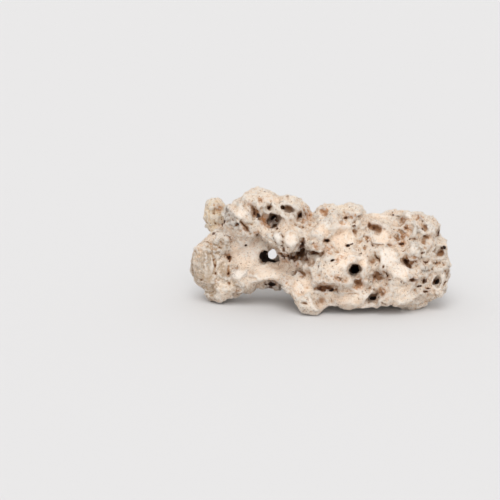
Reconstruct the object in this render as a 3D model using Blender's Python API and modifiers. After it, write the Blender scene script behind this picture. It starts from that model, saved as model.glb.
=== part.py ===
"""A holey rock: one pale lump of limestone, eaten through by water, at its real size.

The stone is one piece. It is modelled the way a sculptor would build it up:
rounded masses are run together, hollows and tunnels are scooped out of them,
the surface is roughened, and the places that it stands on are worn flat.

Metres, +Z up. The origin is the middle of the stone's box on the ground.
-Y is the front, where the tunnel and the two feet either side of the arch show.
"""

import math

import bmesh
import bpy
from mathutils import Euler, Matrix, Vector, noise

MM = 0.001

# Driving dimensions
GRAIN = 1.7 * MM          # voxel that the masses are run together with
BLEND_TURNS = 5           # rounds of smoothing where one mass runs into the next
EDGE_TURNS = 2            # rounds of smoothing on the lips of the hollows
MOST_TRIANGLES = 9000     # what the finished stone is thinned to

# The roughness of the skin: how far it stands in or out, and how far apart the bumps are
SWELL, SWELL_SPACING = 3.5 * MM, 31 * MM
CRAG, CRAG_SPACING = 5.0 * MM, 16 * MM
CRAG_MIDDLE = 0.45        # distance, in spacings, at which a crag neither stands in nor out
GRIT, GRIT_SPACING = 1.0 * MM, 6 * MM

BALL, BLOCK = "ball", "block"

# The masses: name, form, centre, half-sizes, and turn about X, Y and Z. Millimetres and degrees.
# They are laid out around a point near the middle of the ground under the stone, and the
# finished stone is then moved by the little that brings its box's middle over the origin.
MASSES = [
    # the slab at the left end, set back from the front
    ("slab", BALL, (-115, 27, 37), (24.5, 27, 32.5), (0, -8, -12)),
    ("slab_face", BLOCK, (-116, 24, 39.5), (17, 20, 21.5), (0, 6, -14)),
    ("slab_brow", BALL, (-111, 22, 60.5), (21.5, 22, 10.5), (0, -12, 0)),
    ("slab_foot", BALL, (-110, 27, 12), (18, 22, 15), (0, 12, 0)),
    ("slab_toe", BALL, (-86, 18, 21), (30, 24, 11.5), (0, -14, 0)),
    # the thin waist that the tunnel goes through, and the rim in front of it
    ("waist", BALL, (-60, 30, 50), (50, 24, 27), (0, 0, 0)),
    ("rim", BALL, (-55, 6, 35), (48, 19, 8.5), (0, -4, 0)),
    ("lintel", BALL, (-58, 32, 26), (42, 18, 13.5), (0, 0, 0)),
    ("shoulder", BALL, (-92, 22, 72), (27, 24, 15), (0, -14, 0)),
    # the big crown above the waist
    ("crown_left", BALL, (-80, 10, 96), (25, 26, 22), (0, 20, 0)),
    ("crown_top", BALL, (-62, 14, 106.5), (30, 30, 21), (0, 8, 0)),
    ("crown_right", BALL, (-33, 12, 102), (22.5, 30, 20), (0, 14, 0)),
    ("crown_back", BALL, (-55, 38, 88), (40, 26, 28), (0, 0, 0)),
    ("nose", BALL, (-33, -10, 80), (18, 19, 17), (10, 0, 0)),
    ("nose_tip", BALL, (-32, -14, 71), (12, 12, 10), (0, 0, 0)),
    ("cheek", BALL, (-48, -12, 80), (6, 9, 11), (0, -28, 0)),
    ("jowl", BALL, (-54, -6, 76), (6, 9, 10), (0, -20, 0)),
    # a knob that stands off behind the crown
    ("knob", BALL, (-112.3, 46, 90.5), (12.3, 13, 20.3), (0, 4, 0)),
    ("knob_root", BALL, (-96, 44, 78), (16, 12, 11), (0, 20, 0)),
    # the body in the middle
    ("body", BALL, (25, 8, 50), (50, 45, 42), (0, 0, 0)),
    ("body_front", BALL, (22, -18, 44), (42, 27, 30), (0, 0, 0)),
    ("neck", BALL, (-18, 18, 58), (30, 30, 30), (0, 0, 0)),
    ("hump", BALL, (14, 4, 93), (24, 30, 20), (0, 10, 0)),
    ("hump_right", BALL, (33, 6, 102), (15, 22, 11), (0, 0, 0)),
    ("hump_front", BALL, (-2, -12, 80), (16, 18, 18), (0, 0, 0)),
    ("middle_leg", BALL, (-27, -14, 27), (20, 19, 12), (0, 30, 0)),
    ("middle_foot", BALL, (-8, -26, 13), (18, 17, 14), (0, 20, 0)),
    # the shelf and the knobbly right end
    ("shelf", BALL, (64, 18, 77), (36, 38, 24), (0, 0, 0)),
    ("shelf_lip", BALL, (63, -12, 68), (27, 20, 14), (0, 0, 0)),
    ("plate", BLOCK, (75, -22, 57), (15, 12, 13), (-18, 8, 8)),
    ("end_core", BALL, (104, 12, 54), (35, 40, 43), (0, 0, 0)),
    ("end_top", BALL, (102, 14, 86), (29, 31, 18.5), (0, 6, 0)),
    ("end_point", BALL, (119.5, 8, 46), (22, 29, 30), (0, 0, 0)),
    ("end_front", BALL, (88, -20, 36), (30, 18, 30), (0, 0, 0)),
    ("end_nodule", BALL, (95, 2, 99), (7.5, 8, 8), (0, 0, 0)),
    ("end_knob", BALL, (117, -6, 87), (9, 10, 9), (0, 0, 0)),
    ("end_block", BLOCK, (100, -15, 85), (4.5, 6, 8), (0, 10, 20)),
    ("end_bulge", BALL, (98, -26, 69), (9, 10, 11), (0, 0, 0)),
    ("end_coral", BALL, (115, -18, 71), (8, 9, 8), (0, 0, 0)),
    ("end_ear", BALL, (132, 0, 66), (6.5, 14, 12), (0, 10, 0)),
    ("end_chin", BALL, (123, -3, 26), (15, 22, 17), (0, 0, 0)),
    ("sill", BALL, (60, -4, 19), (60, 38, 14.5), (0, 1, 0)),
    ("sill_bar", BALL, (42, -24, 15.5), (50, 15, 10.5), (0, 0, 0)),
    ("right_foot", BALL, (98, 3, 11), (26, 25, 13), (0, 0, 0)),
    # the back, which rests on one more foot
    ("back_body", BALL, (40, 42, 44), (54, 22, 30), (0, 0, 0)),
    ("back_foot", BALL, (28, 46, 14), (30, 18, 16), (0, 0, 0)),
    ("back_boss", BALL, (74, 46, 70), (19, 16, 14), (0, 0, 20)),
    ("back_rib", BALL, (10, 58, 58), (10, 9, 22), (0, 25, 0)),
    ("back_cheek", BALL, (-36, 54, 66), (14, 12, 17), (0, -20, 0)),
    ("back_brow", BALL, (-72, 52, 100), (22, 14, 11), (0, -14, 0)),
    ("back_elbow", BALL, (112, 36, 34), (18, 16, 16), (0, 0, 0)),
    ("top_wart", BALL, (44, 30, 97), (11, 12, 9), (0, 0, 0)),
    ("top_ridge", BALL, (84, 34, 94), (20, 9, 9), (0, 8, 30)),
]

# The hollows, in the same terms. They are scooped out of the masses.
HOLLOWS = [
    # the two ways through the stone: the tunnel, and the arch between the feet
    ("bowl", BALL, (-68, -20, 56), (33, 30, 22), (0, 0, 0)),
    ("tunnel", BALL, (-50, 30, 51.5), (9.5, 60, 9.7), (-9, 0, -5)),
    ("tunnel_mouth", BALL, (-59, 14, 53), (10, 18, 8.5), (0, 15, 20)),
    ("arch", BALL, (-50, -14, -4), (30, 48, 36), (0, -6, 0)),
    ("arch_back", BALL, (-54, 44, -6), (31, 64, 19.5), (0, 0, 0)),
    ("slab_corner", BLOCK, (-143.5, 28, 4), (16, 44, 16), (0, 45, 0)),
    ("slab_furrow", BALL, (-111, -4, 50), (4, 9, 17), (0, -6, 0)),
    # the round hole in the body, and the smooth scoop that leads into it
    ("round_hole", BALL, (34, -31, 50), (8.4, 28, 8.4), (-3, 0, 4)),
    ("round_scoop", BALL, (43, -52, 57), (13, 14, 10), (0, 20, 0)),
    # the crown
    ("crown_valley", BALL, (-69, -15, 107), (5, 10, 13), (0, -29, 0)),
    ("crown_den", BALL, (-50, -4, 96), (7.2, 18, 8.5), (0, 0, 0)),
    ("crown_dish", BALL, (-58, -15, 95), (10, 9, 8), (0, 0, 0)),
    ("crown_pit", BALL, (-55, -10, 110.5), (4, 10, 4), (0, 0, 0)),
    ("crown_slot", BALL, (-34, -13, 111), (8.5, 13, 4.2), (0, 5, 0)),
    ("crown_cleft", BALL, (-23, -12, 103), (4.2, 15, 8), (0, 38, 0)),
    ("crown_flank", BALL, (-12, -14, 100), (6, 9, 10), (0, 0, 0)),
    ("crown_crease", BALL, (-80, -15, 91), (3.6, 9, 12), (0, -35, 0)),
    ("crown_hem", BALL, (-67, -5, 81), (4, 9, 4), (0, 0, 0)),
    ("knob_gap", BALL, (-100, 20, 90), (6, 22, 16), (0, 0, 0)),
    # between the crown and the body
    ("saddle", BALL, (-7, 4, 122), (7, 60, 20), (0, 0, 0)),
    ("crevice", BALL, (-22, -12, 61), (11, 20, 9), (0, 20, 0)),
    ("crevice_top", BALL, (-17, -20, 73), (4.5, 14, 10), (0, 20, 0)),
    ("crevice_arm", BALL, (-5, -24, 65.5), (13, 14, 4.4), (0, -4, 0)),
    ("crevice_floor", BALL, (-11, -22, 56), (8, 11, 6), (0, 20, 0)),
    ("crevice_pit", BALL, (-17, -26, 41), (7, 10, 4.8), (0, 35, 0)),
    # the hump and the body below it
    ("hump_den", BALL, (2, -12, 108), (6, 10, 6), (0, -30, 0)),
    ("hump_pit", BALL, (27, -16, 103), (4.6, 9, 3.6), (0, 0, 0)),
    ("hump_crease", BALL, (38, -2, 97), (10, 14, 2.5), (0, -40, 0)),
    ("body_slot", BALL, (5, -26, 80), (5.4, 10, 3.8), (0, 15, 0)),
    ("body_scoop", BALL, (38, -44, 37), (7.5, 11, 7), (0, 0, 0)),
    ("plate_scoop", BALL, (60, -39, 43), (10, 12, 7), (0, 0, 0)),
    ("sill_groove", BALL, (8, -42, 31), (14, 14, 4.2), (0, 0, 0)),
    ("sill_gutter", BALL, (26, -47, 30), (13, 8, 3), (0, 0, 0)),
    ("sill_slot", BALL, (54, -29, 16.5), (7.2, 15, 4.2), (0, 0, 0)),
    ("sill_dish", BALL, (65, -33, 25), (8, 8, 4), (0, -10, 0)),
    ("foot_notch", BALL, (2, -40, 15), (5.5, 10, 9), (0, -15, 0)),
    # the shelf and the right end
    ("shelf_pocket", BALL, (58, -12, 89), (9, 13, 5.5), (0, 5, 0)),
    ("shelf_hem", BALL, (64, -34, 76), (18, 9, 2.6), (0, 6, 0)),
    ("end_band", BALL, (85, -8, 98), (5.5, 18, 10), (-20, 15, 0)),
    ("end_gap", BALL, (107, -14, 93), (3.5, 12, 7), (0, -10, 0)),
    ("end_hem", BALL, (108, -22, 79), (10, 10, 2.8), (0, -10, 0)),
    ("end_crook", BALL, (90, -34, 57), (5, 12, 9), (0, -30, 0)),
    ("end_crook_arm", BALL, (99, -37, 56), (8, 9, 3.2), (0, -25, 0)),
    ("end_ring", BALL, (130, -17, 63), (5.2, 13, 7), (0, 0, 40)),
    ("end_deep", BALL, (122, -11, 31), (4.2, 17, 7), (0, 25, 30)),
    ("end_pit", BALL, (97, -41, 41), (6, 10, 4.4), (0, 0, 0)),
    ("end_slit", BALL, (109, -36, 36), (3.6, 10, 6), (0, 0, 0)),
    ("end_nick", BALL, (137, -4, 40), (8, 14, 3.5), (0, 15, 0)),
    ("end_den", BALL, (141, 16, 48), (14, 9, 9), (0, -20, 0)),
    ("end_roof_pit", BALL, (122, 20, 88), (8, 7, 9), (0, 20, 0)),
    # the top and the back
    ("top_dish", BALL, (66, 22, 105), (14, 10, 6), (0, 0, 30)),
    ("top_pit", BALL, (58, 24, 96), (5, 6, 14), (20, 0, 0)),
    ("top_cleft", BALL, (62, 42, 98), (22, 5, 10), (0, 0, -12)),
    ("crown_roof_pit", BALL, (-60, 24, 128), (7, 5, 10), (0, 0, 30)),
    ("crown_roof_cup", BALL, (-38, 34, 120), (9, 8, 8), (0, 0, 0)),
    ("crown_roof_slot", BALL, (-84, 26, 114), (5, 12, 7), (0, 0, -30)),
    ("back_bowl", BALL, (-58, 72, 84), (20, 18, 12), (0, 15, 0)),
    ("back_bowl_pit", BALL, (-62, 56, 82), (7, 18, 6), (0, 0, 10)),
    ("back_waist_pit", BALL, (-84, 52, 58), (8, 16, 7), (0, 30, 0)),
    ("back_den", BALL, (46, 62, 74), (10, 26, 9), (0, 20, 0)),
    ("back_den_arm", BALL, (34, 62, 66), (9, 16, 4), (0, 30, 0)),
    ("back_hole", BALL, (86, 50, 42), (8, 26, 8.2), (0, 0, -10)),
    ("back_low_hole", BALL, (4, 60, 34), (7, 22, 6), (0, 0, 14)),
    ("back_ledge", BALL, (46, 70, 31), (40, 13, 5), (0, 4, 0)),
    ("back_slot", BALL, (-10, 56, 86), (13, 16, 4.5), (0, 30, 0)),
    ("back_neck_hole", BALL, (-14, 54, 64), (6, 18, 8), (0, 0, 0)),
    ("back_elbow_pit", BALL, (112, 54, 40), (9, 8, 7), (0, 0, 30)),
    ("back_end_dish", BALL, (104, 58, 74), (15, 14, 12), (0, 0, 30)),
    ("back_slab_dish", BALL, (-122, 58, 44), (15, 11, 15), (0, 0, 0)),
    ("back_foot_notch", BALL, (54, 64, 9), (8, 16, 9), (0, 0, 0)),
    ("left_end_pit", BALL, (-141, 30, 52), (8, 8, 6), (0, 0, 0)),
    ("left_end_slot", BALL, (-140, 20, 34), (7, 3.5, 10), (0, 0, 0)),
]


def clear_scene():
    for obj in list(bpy.data.objects):
        bpy.data.objects.remove(obj)


def collection(name):
    made = bpy.data.collections.new(name)
    bpy.context.scene.collection.children.link(made)
    return made


def add_lump(bm, form, centre, half_sizes, turn):
    """One mass: a ball or a block, stretched, turned and put in its place."""
    moved = Matrix.Translation([MM * value for value in centre])
    turned = Euler([math.radians(angle) for angle in turn]).to_matrix().to_4x4()
    stretched = Matrix.Diagonal([*(MM * size for size in half_sizes), 1.0])
    place = moved @ turned @ stretched
    if form == BLOCK:
        bmesh.ops.create_cube(bm, size=2.0, matrix=place)
    else:
        bmesh.ops.create_icosphere(bm, subdivisions=3, radius=1.0, matrix=place)


def run_together(name, lumps, place):
    """All the lumps as one closed surface, smoothed where they meet."""
    bm = bmesh.new()
    for _, form, centre, half_sizes, turn in lumps:
        add_lump(bm, form, centre, half_sizes, turn)
    mesh = bpy.data.meshes.new(name)
    bm.to_mesh(mesh)
    bm.free()
    obj = bpy.data.objects.new(name, mesh)
    place.objects.link(obj)
    add_remesh(obj, GRAIN)
    add_smooth(obj, BLEND_TURNS)
    return obj


def add_remesh(obj, voxel):
    modifier = obj.modifiers.new("run_together", "REMESH")
    modifier.mode = "VOXEL"
    modifier.voxel_size = voxel


def add_smooth(obj, turns):
    modifier = obj.modifiers.new("wear", "SMOOTH")
    modifier.factor = 0.5
    modifier.iterations = turns


def applied(obj):
    """The object's mesh with its modifiers applied, in place of the old one."""
    graph = bpy.context.evaluated_depsgraph_get()
    mesh = bpy.data.meshes.new_from_object(obj.evaluated_get(graph))
    obj.modifiers.clear()
    obj.data = mesh
    return obj


def roughness_at(point):
    """How far the skin stands out at a point, in metres: broad swells, then crags."""
    swell = noise.noise(point / SWELL_SPACING) * SWELL
    crag = (CRAG_MIDDLE - noise.voronoi(point / CRAG_SPACING)[0][0]) * CRAG
    grit = noise.noise(point / GRIT_SPACING) * GRIT
    return swell + crag + grit


def roughen(obj):
    bm = bmesh.new()
    bm.from_mesh(obj.data)
    bm.normal_update()
    moves = [vert.normal * roughness_at(vert.co) for vert in bm.verts]
    for vert, move in zip(bm.verts, moves):
        vert.co += move
    bm.to_mesh(obj.data)
    bm.free()


def thin_out(obj, most):
    triangles = sum(len(face.vertices) - 2 for face in obj.data.polygons)
    modifier = obj.modifiers.new("thin", "DECIMATE")
    modifier.ratio = min(1.0, most / triangles)
    return applied(obj)


def wear_flat(obj):
    """Everything below the ground is worn away, which leaves the flat feet."""
    bm = bmesh.new()
    bm.from_mesh(obj.data)
    cut = bmesh.ops.bisect_plane(
        bm,
        geom=bm.verts[:] + bm.edges[:] + bm.faces[:],
        dist=1e-6,
        plane_co=(0, 0, 0),
        plane_no=(0, 0, -1),
        clear_outer=True,
    )
    edges = [item for item in cut["geom_cut"] if isinstance(item, bmesh.types.BMEdge)]
    bmesh.ops.holes_fill(bm, edges=edges, sides=0)
    bmesh.ops.recalc_face_normals(bm, faces=bm.faces[:])
    bm.to_mesh(obj.data)
    bm.free()


def centre_over_origin(obj):
    """Moves the mesh so that its box stands on the ground with its middle over the origin."""
    corners = [Vector(corner) for corner in obj.bound_box]
    low, high = corners[0], corners[6]
    middle = (low + high) / 2
    obj.data.transform(Matrix.Translation((-middle.x, -middle.y, -low.z)))


def limestone():
    material = bpy.data.materials.new("limestone")
    material.use_nodes = True
    shader = material.node_tree.nodes["Principled BSDF"]
    shader.inputs["Base Color"].default_value = (0.71, 0.62, 0.51, 1.0)
    shader.inputs["Roughness"].default_value = 0.9
    return material


def main():
    clear_scene()
    shown = collection("holey_rock")
    cutters = collection("cutters")
    hollows = run_together("hollows", HOLLOWS, cutters)
    hollows.hide_render = True
    hollows.display_type = "WIRE"
    rock = run_together("rock", MASSES, shown)
    cut = rock.modifiers.new("hollows", "BOOLEAN")
    cut.operation = "DIFFERENCE"
    cut.object = hollows
    add_remesh(rock, GRAIN)
    add_smooth(rock, EDGE_TURNS)
    applied(rock)
    roughen(rock)
    thin_out(rock, MOST_TRIANGLES)
    wear_flat(rock)
    centre_over_origin(rock)
    rock.data.materials.clear()
    rock.data.materials.append(limestone())


main()
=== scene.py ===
# %% [markdown]
# # A holey rock
# A lump of pale limestone that water has eaten through. The imported model gives its size, its big
# masses and the ways through it. This file makes the skin: the knobs, the pits, the brown stains
# and the painted shade in the hollows, and the chalky finish. It ends with the floor and the light.

import math
import random

import bmesh
import bpy
import numpy as np
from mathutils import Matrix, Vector, noise
from mathutils.bvhtree import BVHTree


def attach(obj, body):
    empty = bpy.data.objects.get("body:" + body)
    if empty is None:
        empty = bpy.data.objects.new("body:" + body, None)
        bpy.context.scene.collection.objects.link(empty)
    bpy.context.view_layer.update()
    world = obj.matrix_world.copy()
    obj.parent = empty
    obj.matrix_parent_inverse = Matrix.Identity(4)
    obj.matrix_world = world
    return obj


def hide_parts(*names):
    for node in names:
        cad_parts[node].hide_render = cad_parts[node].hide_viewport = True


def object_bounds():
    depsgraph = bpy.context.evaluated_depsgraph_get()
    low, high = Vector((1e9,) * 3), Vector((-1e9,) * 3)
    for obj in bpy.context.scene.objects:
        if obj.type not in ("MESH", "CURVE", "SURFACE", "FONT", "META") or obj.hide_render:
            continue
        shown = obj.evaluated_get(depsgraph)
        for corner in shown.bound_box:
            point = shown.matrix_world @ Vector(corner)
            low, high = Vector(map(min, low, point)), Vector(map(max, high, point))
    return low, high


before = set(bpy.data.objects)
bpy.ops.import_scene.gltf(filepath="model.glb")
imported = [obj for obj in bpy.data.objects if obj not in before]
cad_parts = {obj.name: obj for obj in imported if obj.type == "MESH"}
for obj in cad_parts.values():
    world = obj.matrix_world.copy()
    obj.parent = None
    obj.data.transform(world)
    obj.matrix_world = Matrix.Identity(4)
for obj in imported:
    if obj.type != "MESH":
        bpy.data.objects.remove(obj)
cad_low, cad_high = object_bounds()
MM = 0.001
print("frame box in mm:", [round(v / MM, 1) for v in (*cad_low, *cad_high)])

# %% [markdown]
# ## The camera
# A long lens a little over a metre away, looking down at the stone by 14 degrees. The long lens
# keeps the near foot and the far end at nearly one scale, as a product shot does.

# %% Place the camera
LENS, SENSOR = 85.0, 36.0
FRAME_SIDE = 500  # pixels, both ways
LOOK_DOWN = math.radians(14)
FOCUS = Vector((-75.0, -10.6, 62.6)) * MM
DISTANCE = 1257 * MM

camera = bpy.data.objects.new("camera", bpy.data.cameras.new("camera"))
bpy.context.scene.collection.objects.link(camera)
bpy.context.scene.camera = camera
camera.data.lens = LENS
camera.data.sensor_width = SENSOR
camera.location = FOCUS + Vector((0, -math.cos(LOOK_DOWN), math.sin(LOOK_DOWN))) * DISTANCE
camera.rotation_euler = (math.radians(90) - LOOK_DOWN, 0, 0)
print("camera at", [round(v / MM) for v in camera.location], "mm")

# %% [markdown]
# ## Sight lines
# Most marks on the stone are given where the eye finds them: so many pixels across and down the
# render. A sight line runs from the camera through that pixel, and the mark goes where the line
# first meets the stone. That way a mark lies on the surface, whatever view it is seen from.
# Coordinates in millimetres would do as well, but each would have to be measured.

# %% Turn a pixel into a line
SIGHT_RIGHT = Vector((1, 0, 0))
SIGHT_UP = Vector((0, math.sin(LOOK_DOWN), math.cos(LOOK_DOWN)))
SIGHT_AHEAD = Vector((0, math.cos(LOOK_DOWN), -math.sin(LOOK_DOWN)))
PIXEL = DISTANCE * SENSOR / LENS / FRAME_SIDE  # what one pixel covers at the stone
SEARCH, SEARCH_STEP = 150 * MM, 5 * MM  # how far before and behind the stone a missed line is searched


def sight(across, down):
    """The direction from the camera through a pixel."""
    side = FRAME_SIDE / 2
    right = (across - side) / FRAME_SIDE * SENSOR / LENS
    up = (side - down) / FRAME_SIDE * SENSOR / LENS
    return (SIGHT_AHEAD + SIGHT_RIGHT * right + SIGHT_UP * up).normalized()


def seen_at(tree, across, down):
    """Where the stone's surface is seen at a pixel, or comes nearest to that line of sight."""
    spot, *_ = tree.ray_cast(camera.location, sight(across, down))
    if spot is not None:
        return spot
    reaches = np.arange(DISTANCE - SEARCH, DISTANCE + SEARCH, SEARCH_STEP)
    places = [camera.location + sight(across, down) * reach for reach in reaches]
    nearest = [tree.find_nearest(place) for place in places]
    return min(nearest, key=lambda found: found[3])[0]


print(f"one pixel covers {PIXEL / MM:.2f} mm")

# %% [markdown]
# ## The raw lump
# The frame's solid is made of flat facets 5 mm across. A voxel remesh rebuilds its surface as an
# even net, and a few rounds of smoothing melt the facets away. The other way, subdividing the
# facets, would keep their uneven spacing and show them as creases.

# %% Copy the frame's stone and even out its surface
LUMP_VOXEL = 1.25 * MM
MELT_TURNS, MELT_SHARE = 12, 0.5  # each turn moves a point this share of the way to its neighbours
SAME_POINT = 0.001 * MM  # the solid's triangles are loose: corners this near are one


def fresh_object(name, mesh):
    made = bpy.data.objects.new(name, mesh)
    bpy.context.scene.collection.objects.link(made)
    return made


def remeshed(obj, voxel, melt_turns):
    """The object with its surface rebuilt from cubes of this size, and smoothed."""
    remesh = obj.modifiers.new("even", "REMESH")
    remesh.mode = "VOXEL"
    remesh.voxel_size = voxel
    melt = obj.modifiers.new("melt", "SMOOTH")
    melt.factor = MELT_SHARE
    melt.iterations = melt_turns
    return applied(obj)


def applied(obj):
    """The object with its modifiers made real."""
    graph = bpy.context.evaluated_depsgraph_get()
    mesh = bpy.data.meshes.new_from_object(obj.evaluated_get(graph))
    obj.modifiers.clear()
    obj.data = mesh
    return obj


lump_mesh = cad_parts["rock"].data.copy()
bm = bmesh.new()
bm.from_mesh(lump_mesh)
bmesh.ops.remove_doubles(bm, verts=bm.verts, dist=SAME_POINT)
bm.to_mesh(lump_mesh)
bm.free()
stone = fresh_object("holey_rock", lump_mesh)
stone.data.materials.clear()
remeshed(stone, LUMP_VOXEL, MELT_TURNS)
print("lump:", len(stone.data.vertices), "points")

# %% [markdown]
# ## The sculptor's tools
# Four tools shape the stone, as hands would. Press pushes a hollow in, or pulls a knob out where
# its depth is negative. Shave cuts a flat facet, fill brings a gap up to a plane, and score cuts a
# crease. Each one only moves points that the mesh already has. Booleans would cut cleaner holes,
# but water leaves no clean holes, and Booleans fail where two cutters just touch.
#
# A tool feels for its outline in a copy of the points that noise has shifted a few millimetres.
# That leaves the edge of every mark ragged, as broken stone is, while its middle stays in place.

# %% Read and write the surface as arrays
def points_of(mesh):
    flat = np.empty(len(mesh.vertices) * 3)
    mesh.vertices.foreach_get("co", flat)
    return flat.reshape(-1, 3)


def facings_of(mesh):
    flat = np.empty(len(mesh.vertices) * 3)
    mesh.vertex_normals.foreach_get("vector", flat)
    return flat.reshape(-1, 3)


def put_points(mesh, points):
    mesh.vertices.foreach_set("co", points.astype(np.float32).ravel())
    mesh.update()


NOISE_SEED = 3
noise.seed_set(NOISE_SEED)  # without it noise_vector follows the clock, and no two runs agree


def shifts_at(points, spacing):
    """A smooth random shift for each point, up to about 1 each way, that changes over some mm."""
    places = (points / (spacing * MM)).tolist()
    return np.array([noise.noise_vector(place)[:] for place in places])


def ramp(value, start, full):
    """0 before start, 1 after full, and a smooth rise between."""
    share = np.clip((value - start) / (full - start), 0.0, 1.0)
    return share * share * (3 - 2 * share)


print("arrays of", len(points_of(stone.data)), "points, noise from seed", NOISE_SEED)

# %% Clay: the stone's points while tools work on them
RAG_SPACING, RAG = 4.2, 1.7  # mm: how ragged a tool's outline is


class Clay:
    """The points that the tools move, the way they face, and the copy that the tools feel."""

    def __init__(self, obj):
        self.mesh = obj.data
        self.points = points_of(obj.data)
        self.facings = facings_of(obj.data)
        self.felt = self.points + shifts_at(self.points, RAG_SPACING) * RAG * MM
        self.tree = BVHTree.FromObject(obj, bpy.context.evaluated_depsgraph_get())

    def move(self, near, shifts):
        self.points[near] += shifts
        self.felt[near] += shifts

    def done(self):
        put_points(self.mesh, self.points)


print(f"a tool's outline strays by up to about {RAG} mm")

# %% The axes of a mark
def egg_axes(inward, turn):
    """Three axes of an egg shape: across and along it as seen, turned by an angle, and inward."""
    ahead = Vector(inward).normalized()
    right = (SIGHT_RIGHT - ahead * ahead.dot(SIGHT_RIGHT)).normalized()
    up = ahead.cross(right)
    if up.dot(SIGHT_UP) < 0:
        up = -up
    angle = math.radians(turn)
    across = right * math.cos(angle) + up * math.sin(angle)
    along = up * math.cos(angle) - right * math.sin(angle)
    return np.array([across, along, ahead])


print("straight ahead:", np.round(egg_axes(SIGHT_AHEAD, 0), 2).tolist())

# %% Press a hollow in, or pull a knob out
OUTER_FACES = 0.25  # a face counts as turned to the tool up to a little past side-on
MOST_RAG = 0.55  # of a mark's half-width, so that small holes stay round
REACH_IN = 2.5  # of a mark's half-width: how far in front or behind it points still move
SOFT_EDGE, FIRM_EDGE = 1.5, 0.6  # a shallow dish slopes in from its edge, a deep hole drops
DISH, HOLE = 0.35, 1.3  # depth for its half-width at which the edge is soft, or firm
LIP = 0.7  # how much sharper a hollow's upper edge is than its lower one


def press(clay, spot, axes, half_width, half_height, depth, reach=None):
    """Pushes the points round a spot in by depth, or pulls them out where depth is negative."""
    wide = min(half_width, half_height)
    felt = clay.points + (clay.felt - clay.points) * min(1, MOST_RAG * wide / (RAG * MM))
    local = (felt - np.array(spot)) @ axes.T / (half_width, half_height, 1)
    room = 1 - local[:, 0] ** 2 - local[:, 1] ** 2
    near = (room > 0) & (np.abs(local[:, 2]) < (reach or REACH_IN * wide + abs(depth)))
    near &= clay.facings @ axes[2] < OUTER_FACES
    edge = np.interp(abs(depth) / wide, (DISH, HOLE), (SOFT_EDGE, FIRM_EDGE))
    upward = np.clip((felt[near] - np.array(spot)) @ np.array(SIGHT_UP) / wide, -1, 1)
    lip = LIP * edge / SOFT_EDGE * (depth > 0)
    profile = room[near] ** (edge * np.exp(-lip * upward))
    clay.move(near, (profile * depth)[:, None] * axes[2])


print(f"an edge is soft up to {DISH} of its half-width deep, and firm from {HOLE}")

# %% Shave a facet, or fill a gap
SHAVE_CORE, FILL_CORE = 0.7, 0.6  # of the radius: inside it the cut or the filling is full
FILL_FACES = -0.2  # a fill also lifts walls that turn a little away from it
FILL_REACH = 3  # of the radius: how deep a gap is filled from


def off_axis(felt, outward, radius):
    """How far points lie from a line that runs outward, as a share of the radius."""
    return np.linalg.norm(felt - (felt @ outward)[:, None] * outward, axis=1) / radius


def shave(clay, spot, outward, radius, depth):
    """Cuts a flat facet this deep under a spot, facing outward."""
    spot, outward = np.array(spot), np.array(outward)
    over = (clay.points - spot) @ outward
    across = off_axis(clay.felt - spot, outward, radius)
    near = (across < 1) & (over > -depth) & (over < radius) & (clay.facings @ outward > 0)
    cut = (over[near] + depth) * (1 - ramp(across[near], SHAVE_CORE, 1.0))
    clay.move(near, -cut[:, None] * outward)


def fill(clay, spot, outward, radius):
    """Fills what lies behind a spot up to a plane that faces outward."""
    spot, outward = np.array(spot), np.array(outward)
    under = (spot - clay.points) @ outward
    across = off_axis(clay.felt - spot, outward, radius)
    near = (across < 1) & (under > 0) & (under < FILL_REACH * radius)
    near &= clay.facings @ outward > FILL_FACES
    rise = under[near] * (1 - ramp(across[near], FILL_CORE, 1.0))
    clay.move(near, rise[:, None] * outward)


print(f"a cut and a filling fade out from {SHAVE_CORE} and {FILL_CORE} of their radius")

# %% Score a crease
def score(clay, start, end, ahead, half_width, depth):
    """Cuts a crease between two spots, deepest along its middle."""
    along = np.array(end - start)
    from_start = clay.felt - np.array(start)
    share = np.clip(from_start @ along / (along @ along), 0, 1)
    reach = np.linalg.norm(from_start - share[:, None] * along, axis=1) / half_width
    near = (reach < 1) & (clay.facings @ np.array(ahead) < OUTER_FACES)
    clay.points[near] += ((1 - reach[near] ** 2) * depth)[:, None] * np.array(ahead)


print("tools ready: press, shave, fill and score")

# %% [markdown]
# ## What the eye finds
# The marks that can be told apart are listed by where they are seen, region by region: the knobs,
# the hollows and holes, the creases and the flat facets. Walls and ceilings inside the openings
# turn away from the eye, so the pads and fills on them go by place. A sculpted height map would
# hold them all, but a list can be read and changed mark by mark. Everything finer comes later,
# from noise.

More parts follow.
